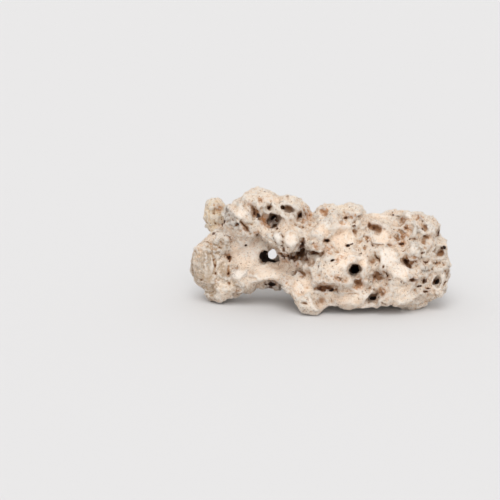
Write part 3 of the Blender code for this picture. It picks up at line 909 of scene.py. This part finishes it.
thin = stone.modifiers.new("thin", "DECIMATE")
thin.ratio = min(1.0, MOST_TRIANGLES / triangle_count(stone.data))
applied(stone)
points = points_of(stone.data)
low, high = np.array(cad_low), np.array(cad_high)
points[:, 2] = np.maximum(points[:, 2], low[2])
share = (points - points.min(axis=0)) / (points.max(axis=0) - points.min(axis=0))
put_points(stone.data, low + share * (high - low))
stone.data.shade_smooth()
print("thinned to", triangle_count(stone.data), "triangles")

# %% [markdown]
# ## Where colour gathers
# Water leaves iron and soil in the hollows and wears the ridges pale, so the colour follows the
# shape. The same readings also darken the deepest hollows as painted shade, and lighten the
# sharpest ridges partly as painted highlight. The stone is filled into a grid of small cells, and
# the grid is blurred. A point on flat ground then reads one half, a point in a hollow reads more,
# and one on a ridge reads less. The shader's own Pointiness reads only the nearest edges, so it
# would miss the wide hollows.

# %% Fill the stone into a grid
CELL = 1.2 * MM
MARGIN_CELLS = 12
PAST_FACE = 0.01 * MM  # a ray starts again this far past a face that it met


def filled_grid(tree, low, high):
    """1 in each cell whose middle lies inside the stone, and 0 outside."""
    counts = np.ceil((high - low) / CELL).astype(int) + 2 * MARGIN_CELLS
    start = low - MARGIN_CELLS * CELL
    grid = np.zeros(counts, np.float32)
    floors = start[2] + CELL * np.arange(counts[2])
    for i in range(MARGIN_CELLS, counts[0] - MARGIN_CELLS):
        for j in range(MARGIN_CELLS, counts[1] - MARGIN_CELLS):
            at = Vector((start[0] + CELL * i, start[1] + CELL * j, start[2]))
            crossings = []
            while True:
                spot, *_ = tree.ray_cast(at, (0, 0, 1))
                if spot is None:
                    break
                crossings.append(spot.z)
                at = spot + Vector((0, 0, PAST_FACE))
            for enters, leaves in zip(crossings[::2], crossings[1::2]):
                grid[i, j, (floors > enters) & (floors < leaves)] = 1
    return grid, start


stone_tree = BVHTree.FromObject(stone, bpy.context.evaluated_depsgraph_get())
points, facings = points_of(stone.data), facings_of(stone.data)
grid, grid_start = filled_grid(stone_tree, points.min(axis=0), points.max(axis=0))
print("grid of", grid.shape, "cells, filled", round(float(grid.mean()), 2))

# %% Read how hollow the surface is at each point
# attribute name, reach of the blur in mm, how far out from the surface it is read
HOLLOWNESS = [("hollow_wide", 7.0, 1.5), ("hollow_mid", 3.6, 0.8), ("hollow_fine", 1.7, 0.3)]


def blurred(grid, reach):
    """The grid blurred by a bell curve of this reach."""
    spectrum = np.fft.rfftn(grid)
    for axis, count in enumerate(grid.shape):
        waves = np.fft.rfftfreq(count) if axis == 2 else np.fft.fftfreq(count)
        bell = np.exp(-2 * (math.pi * waves * reach / CELL) ** 2)
        shape = [1, 1, 1]
        shape[axis] = len(bell)
        spectrum *= bell.reshape(shape)
    return np.fft.irfftn(spectrum, grid.shape)


def read_grid(grid, start, points):
    """The grid's value at each point, mixed from the eight cells round it."""
    cell = (points - start) / CELL
    base = np.floor(cell).astype(int)
    part = cell - base
    total = np.zeros(len(points))
    for corner in np.ndindex(2, 2, 2):
        weight = np.prod(np.where(corner, part, 1 - part), axis=1)
        total += weight * grid[tuple((base + corner).T)]
    return total


def keep_attribute(mesh, name, values):
    layer = mesh.attributes.new(name, "FLOAT", "POINT")
    layer.data.foreach_set("value", np.asarray(values, np.float32))


hollowness = {}
for name, reach, out in HOLLOWNESS:
    values = read_grid(blurred(grid, reach * MM), grid_start, points + facings * out * MM)
    hollowness[name] = values
    keep_attribute(stone.data, name, values)
    print(name, "runs over", np.round(np.percentile(values, [1, 25, 50, 75, 99]), 2))

# %% [markdown]
# ## Stains, bare patches and painted shade
# Some colour has a place of its own: rust where iron seeped out, grey where dust stuck and painted
# shade in sheltered recesses, white where the stone is freshly broken and painted highlights on lit
# lips. Each kind is one attribute, 1 at the middle of a patch and 0 past its edge. The listed hollows
# and creases add brown round them, partly stain and partly painted shade, and black inside, which is
# painted shade. Painting an image would give finer edges, but an attribute needs no unwrapping and
# stays with its points.

# %% Patches of colour
# Each kind's list has: across, down and radius in pixels, strength
PATCHES = {}
print("kinds of patch: rust, grey, chalk, ochre, dark and tan")

# %% Rust, where iron seeped out
PATCHES["rust"] = [
    (266, 221, 8, 0.8), (270, 225, 6, 0.8), (262, 217, 6, 0.5), (277, 221, 4, 0.9), (276, 226, 4, 0.8),
    (268, 217, 4, 0.8), (219.4, 208.7, 5, 0.9), (216, 206, 5, 0.5), (236, 269, 3, 0.6),
    (239, 262, 4, 0.25), (260.5, 199.6, 5, 0.6), (255.4, 211.6, 6, 0.7), (250, 203, 4, 0.7),
    (263, 221, 6, 0.6), (306, 214, 8, 0.7), (305, 222, 5, 0.6), (290, 207, 5, 0.5), (287, 196.5, 4, 0.4),
    (286, 255, 9, 0.9), (298.5, 257, 6, 0.9), (296, 263, 5, 0.8), (284, 250, 4, 0.5),
    (324.6, 211, 6, 0.9), (346, 212, 5, 0.4), (353, 216, 4, 0.8), (343, 223, 5, 0.4), (328, 250, 8, 0.5),
    (316, 247, 5, 0.6), (337, 260, 4, 0.7), (341.8, 256.7, 3, 0.6), (338, 279, 6, 0.5),
    (342, 283, 6, 0.35), (358.7, 286.5, 5, 1), (360, 282, 7, 0.7), (377, 277, 6, 0.9), (374, 280, 4, 0.6),
    (384, 272, 5, 0.6), (387, 277, 4, 0.5), (382, 291.5, 5, 0.6), (374, 298.5, 5, 0.5),
    (324, 288, 8, 0.6), (322, 300, 6, 0.35), (309, 301, 4, 0.25), (303, 275, 5, 0.6), (371, 225, 5, 0.8),
    (380, 228, 6, 0.7), (368.6, 238, 3.5, 0.8), (373, 243.5, 3, 0.6), (404, 219, 7, 0.55),
    (407, 228, 5, 0.9), (404, 236, 5, 0.7), (402.5, 243.8, 5, 0.9), (421, 217.6, 3.5, 1),
    (428, 236, 4, 0.6), (407, 259, 5, 0.8), (410, 265, 5, 0.8), (416, 260, 5, 0.7), (440.6, 253.5, 4, 1),
    (429, 246, 6, 0.4), (445, 247.5, 4, 0.5), (437, 263, 3, 0.5), (415.5, 280.5, 5, 0.7),
    (428, 290, 4, 0.6), (418, 292, 5, 0.25), (449, 281, 4, 0.4), (392, 244, 6, 0.3), (228.5, 257, 4, 0.8),
    (232, 238, 6, 0.4), (214, 248, 6, 0.3), (272, 285, 8, 0.7), (243, 228, 6, 0.6),
    (256.5, 232.5, 4, 0.6), (216.5, 281.5, 3, 0.4), (238, 290.5, 4, 0.4), (285, 281, 4, 0.5),
    (278, 280.5, 3, 0.3), (245, 222, 5, 0.4), (350, 291, 6, 0.35),
]
print(len(PATCHES["rust"]), "patches of rust")

# %% Grey dust, and painted shade in the sheltered recesses
PATCHES["grey_and_shade"] = [
    (232, 221, 6, 1.2), (237, 226, 5, 0.8), (242, 219, 4, 0.3), (233, 268, 5, 0.5), (233, 276, 5, 0.5),
    (229, 218, 8, 1.3), (226, 211, 6, 1.2), (234, 224, 6, 0.6), (243, 200, 5, 0.4), (265, 209, 4, 0.4),
    (416.5, 229, 6, 0.8), (414, 223, 4, 0.5), (415, 245, 6, 0.45), (425, 270, 5, 0.8), (413, 241, 4, 0.4),
    (438, 234, 4, 0.4), (340, 216, 4, 0.3), (352, 229, 5, 0.35), (232, 272, 5, 0.4), (204, 264, 14, 0.45),
    (222, 278, 9, 0.35), (240, 288, 8, 0.3), (290, 289, 6, 0.25), (396, 296, 8, 0.25), (369, 267, 3, 0.3),
    (450, 272, 4, 0.5), (393, 284, 6, 0.25), (444, 290, 5, 0.4), (318, 264, 4, 0.3), (238, 203, 4, 0.5),
    (270, 285, 8, 0.8), (282, 289, 6, 0.7),
]
print(len(PATCHES["grey_and_shade"]), "patches of grey")

# %% Chalk where the stone is freshly worn, and painted highlights on lit lips and facets such as the rim and the plate
PATCHES["chalk_and_highlight"] = [
    (235.5, 271.5, 4.5, 1.1), (239.5, 272.6, 5, 1.1), (244, 274, 4.5, 1), (248, 249, 17, 0.5),
    (262, 268, 9, 0.4), (276, 238, 5, 0.7), (280, 234, 4, 0.5), (327, 221.5, 6, 0.9), (383, 253, 5, 0.5),
    (389, 259, 10, 0.6), (399, 270, 9, 0.5), (409, 213, 5, 0.6), (432, 228, 6, 0.9), (293, 245, 6, 0.4),
    (299, 289, 6, 0.5), (297, 207, 3, 0.6), (363, 294, 5, 0.5), (218, 296, 5, 0.5), (410, 270, 5, 0.4),
    (375, 243, 6, 0.4), (420, 264, 4, 0.5), (352, 205, 7, 0.3), (420, 300, 7, 0.4), (317, 266, 5, 0.4),
    (308, 246, 4, 0.3), (337, 204, 5, 0.4), (430, 271, 5, 0.4),
]
print(len(PATCHES["chalk_and_highlight"]), "patches of chalk")

# %% Ochre, a faint yellow bloom
PATCHES["ochre"] = [
    (213, 212, 16, 1), (210, 228, 9, 0.8), (250, 224, 9, 0.35), (256, 215, 8, 0.25), (300, 238, 7, 0.2),
    (350, 237, 12, 0.25), (381, 236, 8, 0.2), (344, 208, 10, 0.3),
]
print(len(PATCHES["ochre"]), "patches of ochre")

# %% Painted shade, dark deep in the holes, the crevice and the gaps
PATCHES["painted_shade"] = [
    (261.5, 255.5, 4.5, 1), (265, 259, 5.5, 1), (269, 261, 4.5, 1), (274, 260.5, 3.4, 0.9),
    (265, 252, 3.4, 1), (273.8, 218.8, 3.8, 1), (302, 246, 4.2, 0.5), (293, 258, 2.6, 0.5),
    (306, 254, 3, 0.3), (307, 259, 2.8, 0.35), (314, 252.6, 3.6, 0.4), (304.5, 242, 2.6, 0.4),
    (290, 258.5, 2.6, 0.4), (284, 256, 2.6, 0.35), (271, 284.4, 4, 0.8), (258.5, 216, 3, 0.7),
    (224, 221.5, 2.6, 0.6), (223, 225, 2.4, 0.5), (213.5, 233.5, 2.2, 0.5), (320, 288.3, 4, 0.45),
    (331.6, 290, 2.4, 0.9), (328, 288.6, 3.6, 0.3), (354.8, 269.6, 5, 1), (444.4, 247.4, 2, 1),
]
print(len(PATCHES["painted_shade"]), "patches of dark")

# %% Tan, darker and browner over the slab and the rim below the bowl
PATCHES["tan"] = [
    (203, 268, 20, 1), (222, 272, 12, 0.8), (210, 290, 14, 0.7), (214, 250, 12, 0.7), (224, 244, 8, 0.5),
    (231, 286, 12, 0.5), (245, 292, 12, 0.35), (252, 240, 10, 0.2),
]
print(len(PATCHES["tan"]), "patches of tan")

# %% How near a point is to a mark
PATCH_CORE = 0.3  # of the radius: inside it the patch has its full strength
PATCH_SPREAD = 1.25
PATCH_FLATNESS = 0.4  # how fast it fades along the line of sight, against across it
STAIN_RAG = 0.6  # of a stain's half-width: the most its outline strays
FELT_SHIFTS = ((4.2, 1.7), (1.8, 0.8))  # noise spacing and reach in mm, for ragged outlines

rag = sum(shifts_at(points, spacing) * reach * MM for spacing, reach in FELT_SHIFTS)
rag_reach = sum(reach for _, reach in FELT_SHIFTS) * MM


def near_pixel(across, down, half_width, half_height, turn):
    """How near each point is to what is seen at a pixel: 1 there, and 0 past the edge of an oval."""
    felt = points + rag * min(1, STAIN_RAG * min(half_width, half_height) * PIXEL / rag_reach)
    local = (felt - np.array(seen_at(stone_tree, across, down))) @ egg_axes(sight(across, down), turn).T
    wide = max(half_width, half_height)
    local /= np.array([half_width, half_height, wide / PATCH_FLATNESS]) * PATCH_SPREAD * PIXEL
    return 1 - ramp(np.linalg.norm(local, axis=1), PATCH_CORE, 1.0)


print(f"a stain's outline strays by up to {rag_reach / MM:.1f} mm")

# %% Lay the stains and the painted shade on the points
# The brown round a hollow is partly stain and partly painted shade: it is lifted to the hollow's upper
# side, where shade falls, and kept more where the stone is more hollow.
BROWN_SPREAD, SHADED_SIDE_LIFT = 1.35, 0.3  # how far past a hollow its brown goes, and how far up in it
BROWN_BY_DEPTH = ((0.45, 0.70), (0.45, 1.0))  # how hollow the stone is, how much brown stays
# The dark along a crease's middle is painted shade.
CREASE_SHADE = 0.35  # a brown crease is this dark along its middle


def lay_patch(name, share):
    stains_and_shade[name] = np.maximum(stains_and_shade[name], share)


stains_and_shade = {name: np.zeros(len(points)) for name in (*PATCHES, "brown_and_shade")}
for name, patches in PATCHES.items():
    for across, down, radius, strength in patches:
        lay_patch(name, near_pixel(across, down, radius, radius, 0) * strength)
# Each listed hollow gets brown, partly stain and partly painted shade, and black inside, which is painted
# shade.
for _, across, down, half_width, half_height, _, turn, brown_and_shade, black_shade in HOLLOWS:
    wide, tall = half_width * BROWN_SPREAD, half_height * BROWN_SPREAD
    lay_patch("brown_and_shade", near_pixel(across, down - SHADED_SIDE_LIFT * half_height, wide, tall, turn) * brown_and_shade)
    lay_patch("painted_shade", near_pixel(across, down, half_width, half_height, turn) * black_shade)
# Each crease gets brown, partly stain and partly painted shade, with a darker middle of painted shade.
for _, pixels, half_width, _, brown_and_shade in CREASES:
    for start, end in zip(pixels, pixels[1:]):
        middle = ((start[0] + end[0]) / 2, (start[1] + end[1]) / 2)
        turn = math.degrees(math.atan2(start[1] - end[1], end[0] - start[0]))
        share = near_pixel(*middle, math.dist(start, end) / 2 + half_width, half_width, turn)
        lay_patch("brown_and_shade", share * brown_and_shade)
        lay_patch("painted_shade", share * brown_and_shade * CREASE_SHADE)
# Painted shade in part: the brown is kept more in the deeper hollows.
stains_and_shade["brown_and_shade"] *= np.interp(hollowness["hollow_mid"], BROWN_BY_DEPTH[0], BROWN_BY_DEPTH[1])
for name, values in stains_and_shade.items():
    keep_attribute(stone.data, name, values)
keep_attribute(stone.data, "broken", relief_left(points))
covered = {name: f"{(values > 0.5).mean():.0%}" for name, values in stains_and_shade.items()}
print("stained by more than half:", covered)

# %% [markdown]
# ## Limestone
# Holey limestone is calcite: pale, dense and quite matt, because its grain scatters light in every
# direction. Most of the colour comes from what water carried in, and some is painted shade and painted
# highlight. Its layers are laid one over the other, from the broad to the fine: slow drifts of cream,
# flesh and ash, patches, grit, hairlines, pinholes, and at last the stains and the painted shade in the
# hollows. The grit's own dips and peaks are tinted too, which is what makes it look rough and not
# painted.

# %% Colours and node helpers
CREAM, FLESH, ASH, PEACH = "EADAC8", "E6CFB9", "DED2C4", "E6C8A9"
# The near-black is painted shade, for the deepest holes and gaps.
TAN, BROWN, UMBER, SHADE_BLACK = "B68C68", "94674A", "633C26", "1A0F09"
# The grey is partly dust and partly painted shade in recesses.
RUST, OCHRE, DUST_AND_SHADE, CHALK, LOAM = "B4773F", "E4CFAE", "948E87", "E6DFD6", "AB957C"


def hex_colour(code):
    """A linear colour from sRGB hex."""
    parts = [int(code[i:i + 2], 16) / 255 for i in (0, 2, 4)]
    return (*[p / 12.92 if p <= 0.04045 else ((p + 0.055) / 1.055) ** 2.4 for p in parts], 1)


def add_node(tree, kind, settings=(), values=(), links=()):
    """Adds a node, sets its settings and socket values, and links other sockets to it."""
    node = tree.nodes.new(kind)
    for name, value in dict(settings).items():
        setattr(node, name, value)
    for name, value in dict(values).items():
        node.inputs[name].default_value = value
    for name, socket in dict(links).items():
        tree.links.new(socket, node.inputs[name])
    return node


def rise(start, full, most):
    """The values of a step from 0 at start to most at full."""
    return {"From Min": start, "From Max": full, "To Max": most}


def per_metre(size):
    """The scale of a pattern whose lumps are this many mm across."""
    return 1 / (size * MM)


SHARE, UNDER, OVER, MIXED = 0, 6, 7, 2  # a colour mix node's sockets
COLOUR_MIX = {"data_type": "RGBA"}
SMOOTH_STEP = {"interpolation_type": "SMOOTHSTEP"}
MULTIPLY, MULTIPLY_ADD = {"operation": "MULTIPLY"}, {"operation": "MULTIPLY_ADD"}
print("cream is", [round(v, 2) for v in hex_colour(CREAM)[:3]], "in linear light")

# %% Noises that the layers share
# name, size in mm, detail, roughness, distortion
NOISES = [
    ("drift", 24, 3, 0.5, 0),
    ("cloud", 15, 4, 0.6, 0),
    ("ragged", 4.5, 8, 0.75, 0),
    ("patchy", 2.6, 5, 0.70, 0),
    ("thread", 10, 3, 0.55, 1.6),
    ("crumb", 3, 5, 0.65, 0.3),
    ("speck", 2.3, 2, 0.55, 0.5),
    ("grit", 1.7, 4, 0.75, 0),
]
limestone = bpy.data.materials.new("limestone")
limestone.use_nodes = True
nodes = limestone.node_tree
shader = nodes.nodes["Principled BSDF"]
place = add_node(nodes, "ShaderNodeTexCoord").outputs["Object"]
noises = {}
for name, size, detail, roughness, distortion in NOISES:
    shape = {"Scale": per_metre(size), "Detail": detail, "Roughness": roughness, "Distortion": distortion}
    noises[name] = add_node(nodes, "ShaderNodeTexNoise", {}, shape, {"Vector": place}).outputs["Fac"]
broken = add_node(nodes, "ShaderNodeAttribute", {"attribute_name": "broken"}).outputs["Fac"]
# smooth places are worn: they show about half as much grit as broken ones
wear = add_node(nodes, "ShaderNodeMapRange", {}, {"From Min": 0.1, "From Max": 0.9, "To Min": 0.48},
                {"Value": broken})
print("noises, in mm:", {name: size for name, size, *_ in NOISES})

# %% The base: cream that drifts to flesh, ash and peach
# noise, where it starts, where it is full, how much of the colour shows, colour
DRIFTS = [("drift", 0.42, 0.60, 1.0, FLESH), ("cloud", 0.50, 0.68, 0.45, ASH),
          ("ragged", 0.50, 0.64, 0.4, PEACH)]
layers = []  # from the bottom up: how much of the layer shows, its colour
for name, start, full, most, code in DRIFTS:
    share = add_node(nodes, "ShaderNodeMapRange", SMOOTH_STEP, rise(start, full, most),
                     {"Value": noises[name]})
    layers.append((share.outputs["Result"], code))
print("base of cream and", len(layers), "drifts")

# %% Patches, broken up by noise
# attribute, colour, how much of it shows at most
# The brown patches are partly stain and partly painted shade, the grey ones partly dust and partly painted
# shade, the chalk ones partly fresh wear and partly painted highlight.
PATCH_COLOURS = [("tan", LOAM, 0.85), ("ochre", OCHRE, 0.7), ("brown_and_shade", BROWN, 0.75),
                 ("rust", RUST, 0.80), ("grey_and_shade", DUST_AND_SHADE, 0.75), ("chalk_and_highlight", CHALK, 0.80)]
PATCH_STEP = (0.1, 0.8)
spotted = add_node(nodes, "ShaderNodeMapRange", {},
                   {"From Min": 0.32, "From Max": 0.62, "To Min": 0.2, "To Max": 1.6},
                   {"Value": noises["patchy"]})
for name, code, most in PATCH_COLOURS:
    strength = add_node(nodes, "ShaderNodeAttribute", {"attribute_name": name})
    broken_up = add_node(nodes, "ShaderNodeMath", MULTIPLY, {},
                         {0: strength.outputs["Fac"], 1: spotted.outputs["Result"]})
    share = add_node(nodes, "ShaderNodeMapRange", SMOOTH_STEP, rise(*PATCH_STEP, most),
                     {"Value": broken_up.outputs["Value"]})
    layers.append((share.outputs["Result"], code))
print(len(PATCH_COLOURS), "colours of patch")

# %% Grit: its dips hold dirt and its peaks are rubbed white
# noise, colour, where it starts, where it is full, how much of it shows on broken stone
GRITS = [("crumb", TAN, 0.45, 0.35, 0.38), ("crumb", CHALK, 0.56, 0.70, 0.45),
         ("grit", TAN, 0.47, 0.36, 0.70), ("grit", CHALK, 0.54, 0.66, 0.70),
         ("speck", UMBER, 0.62, 0.69, 0.85)]
for name, code, start, full, most in GRITS:
    share = add_node(nodes, "ShaderNodeMapRange", SMOOTH_STEP, rise(start, full, most),
                     {"Value": noises[name]})
    worn = add_node(nodes, "ShaderNodeMath", MULTIPLY, {},
                    {0: share.outputs["Result"], 1: wear.outputs["Result"]})
    layers.append((worn.outputs["Value"], code))
print(len(GRITS), "tints of grit")

# %% Hairlines and pinholes
# A hairline runs where a slow noise crosses its middle value, and a pinhole sits in the middle of
# a cell. Another noise says where they are. Real hairlines are a tenth of a millimetre wide, and
# these are wider, or they wouldn't show.
HAIRLINE_WIDTH = 0.012  # in the noise's own values
PINHOLE_SPACING = 4.2  # mm
offset = add_node(nodes, "ShaderNodeMath", {"operation": "SUBTRACT"}, {1: 0.5}, {0: noises["thread"]})
away = add_node(nodes, "ShaderNodeMath", {"operation": "ABSOLUTE"}, {}, {0: offset.outputs["Value"]})
pin = add_node(nodes, "ShaderNodeTexVoronoi", {}, {"Scale": per_metre(PINHOLE_SPACING)}, {"Vector": place})
# distance from its middle, where it is full and where it ends, noise, its start and full, most
FINE_MARKS = [(away.outputs["Value"], 0, HAIRLINE_WIDTH, "ragged", 0.50, 0.60, 0.8),
              (pin.outputs["Distance"], 0.09, 0.16, "cloud", 0.48, 0.60, 0.9)]
fine_marks = []
for distance, core, rim, name, start, full, most in FINE_MARKS:
    mark = add_node(nodes, "ShaderNodeMapRange", SMOOTH_STEP,
                    {"From Min": core, "From Max": rim, "To Min": 1.0, "To Max": 0.0},
                    {"Value": distance})
    where = add_node(nodes, "ShaderNodeMapRange", SMOOTH_STEP, rise(start, full, most),
                     {"Value": noises[name]})
    fine = add_node(nodes, "ShaderNodeMath", MULTIPLY, {},
                    {0: mark.outputs["Result"], 1: where.outputs["Result"]})
    fine_marks.append(fine.outputs["Value"])
    layers.append((fine.outputs["Value"], UMBER))
print("pinholes", PINHOLE_SPACING, "mm apart, and hairlines")

# %% Lay the colours over one another
plain = add_node(nodes, "ShaderNodeRGB")
plain.outputs[0].default_value = hex_colour(CREAM)
colour = plain.outputs[0]
for share, code in layers:
    laid = add_node(nodes, "ShaderNodeMix", COLOUR_MIX, {OVER: hex_colour(code)},
                    {SHARE: share, UNDER: colour})
    colour = laid.outputs[MIXED]
print(len(layers), "layers over the cream")

# %% Stains in the hollows with painted shade in the deepest, and pale ridges partly painted highlight
# attribute, how ragged the edge is, then stops: reading, colour, how much of it shows
STAINS_AND_SHADE = [
    # The tan, brown and umber stops are stain. The darkest stops, in the deepest hollows and where the
    # dark reading is high, are painted shade. The chalk at the low end of hollow_fine whitens the sharpest
    # ridges, partly wear and partly painted highlight.
    ("hollow_wide", 0.20, [(0.60, TAN, 0.0), (0.72, TAN, 0.30), (0.84, BROWN, 0.70), (0.97, SHADE_BLACK, 0.95)]),
    ("hollow_mid", 0.24, [(0.54, TAN, 0.0), (0.66, TAN, 0.50), (0.80, BROWN, 0.70), (0.95, UMBER, 0.95)]),
    ("hollow_fine", 0.20, [(0.30, CHALK, 0.60), (0.44, CHALK, 0.0), (0.57, TAN, 0.0), (0.67, TAN, 0.75),
                           (0.80, UMBER, 0.95)]),
    ("painted_shade", 0.70, [(0.15, UMBER, 0.0), (0.38, UMBER, 0.90), (0.62, SHADE_BLACK, 0.97)]),
]
centred = add_node(nodes, "ShaderNodeMath", {"operation": "SUBTRACT"}, {1: 0.5}, {0: noises["ragged"]})
for name, ragged, stops in STAINS_AND_SHADE:
    reading = add_node(nodes, "ShaderNodeAttribute", {"attribute_name": name})
    edge = add_node(nodes, "ShaderNodeMath", MULTIPLY_ADD, {1: ragged},
                    {0: centred.outputs["Value"], 2: reading.outputs["Fac"]})
    gradient = add_node(nodes, "ShaderNodeValToRGB", {}, {}, {"Fac": edge.outputs["Value"]})
    marks = gradient.color_ramp.elements
    while len(marks) < len(stops):
        marks.new(1.0)
    for mark, (value, code, share) in zip(marks, stops):
        mark.position = value
        mark.color = (*hex_colour(code)[:3], share)
    laid = add_node(nodes, "ShaderNodeMix", COLOUR_MIX, {},
                    {SHARE: gradient.outputs["Alpha"], UNDER: colour, OVER: gradient.outputs["Color"]})
    colour = laid.outputs[MIXED]
nodes.links.new(colour, shader.inputs["Base Color"])
print(len(STAINS_AND_SHADE), "stains, with", sum(len(stops) for *_, stops in STAINS_AND_SHADE), "stops")

# %% Grit in the surface, and the chalky finish
CRUMB_HEIGHT, GRIT_HEIGHT, HOLE_DEPTH = 1.5, 2.0, 0.6  # mm
# Calcite's IOR is near the shader's own 1.5, but weathered grain scatters nearly all of its gloss.
MATT, SHINE = 0.92, 0.25
height = add_node(nodes, "ShaderNodeMath", MULTIPLY, {1: CRUMB_HEIGHT}, {0: noises["crumb"]})
for socket, share in ((noises["grit"], GRIT_HEIGHT), *((mark, -HOLE_DEPTH) for mark in fine_marks)):
    height = add_node(nodes, "ShaderNodeMath", MULTIPLY_ADD, {1: share},
                      {0: socket, 2: height.outputs["Value"]})
bump = add_node(nodes, "ShaderNodeBump", {}, {"Distance": MM},
                {"Height": height.outputs["Value"], "Strength": wear.outputs["Result"]})
nodes.links.new(bump.outputs["Normal"], shader.inputs["Normal"])
shader.inputs["Roughness"].default_value = MATT
shader.inputs["Specular IOR Level"].default_value = SHINE
stone.data.materials.clear()
stone.data.materials.append(limestone)
print("limestone:", len(nodes.nodes), "nodes")

# %% [markdown]
# ## Floor and light
# A pale floor and big soft lights, as in a product studio. Suns with wide discs keep the shadows
# soft and light the floor evenly as far as the eye goes: one from high up, for the shadow under
# the stone, and one low from the front, which reaches into the bowl. Area lamps would be as soft,
# but would leave a bright pool on the floor. The sky is a pale even grey.

# %% The floor
FLOOR_RADIUS = 12.0  # metres, so that its edge is never seen
BOARD_GREY, BOARD_MATT, BOARD_SHINE = "D1D0D0", 0.9, 0.1
floor_look = bpy.data.materials.new("painted_board")
floor_look.use_nodes = True
floor_paint = floor_look.node_tree.nodes["Principled BSDF"]
floor_paint.inputs["Base Color"].default_value = hex_colour(BOARD_GREY)
floor_paint.inputs["Roughness"].default_value = BOARD_MATT
floor_paint.inputs["Specular IOR Level"].default_value = BOARD_SHINE
floor_mesh = bpy.data.meshes.new("floor")
bm = bmesh.new()
bmesh.ops.create_circle(bm, cap_ends=True, segments=64, radius=FLOOR_RADIUS)
bm.to_mesh(floor_mesh)
bm.free()
floor = fresh_object("floor", floor_mesh)
floor.data.materials.append(floor_look)
print("floor", 2 * FLOOR_RADIUS, "m across")

# %% The light
SKY_WHITE, SKY_STRENGTH = "FFFFFF", 0.86
# name, strength, width of its disc in degrees, the direction that it comes from
SUNS = [("key", 1.17, 40, (-0.10, -0.56, 1.0)), ("fill", 0.78, 50, (0.05, -1.0, 0.47))]

world = bpy.data.worlds.new("studio")
bpy.context.scene.world = world
world.use_nodes = True
sky = world.node_tree.nodes["Background"]
sky.inputs["Color"].default_value = hex_colour(SKY_WHITE)
sky.inputs["Strength"].default_value = SKY_STRENGTH
for name, strength, disc, comes_from in SUNS:
    sun = fresh_object(name, bpy.data.lights.new(name, "SUN"))
    sun.data.energy = strength
    sun.data.angle = math.radians(disc)
    sun.rotation_euler = Vector(comes_from).to_track_quat("Z", "Y").to_euler()
bpy.context.scene.view_settings.view_transform = "Standard"
print(len(SUNS), "suns and a sky of strength", SKY_STRENGTH)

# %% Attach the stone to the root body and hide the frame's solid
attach(stone, "root")
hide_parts("rock")
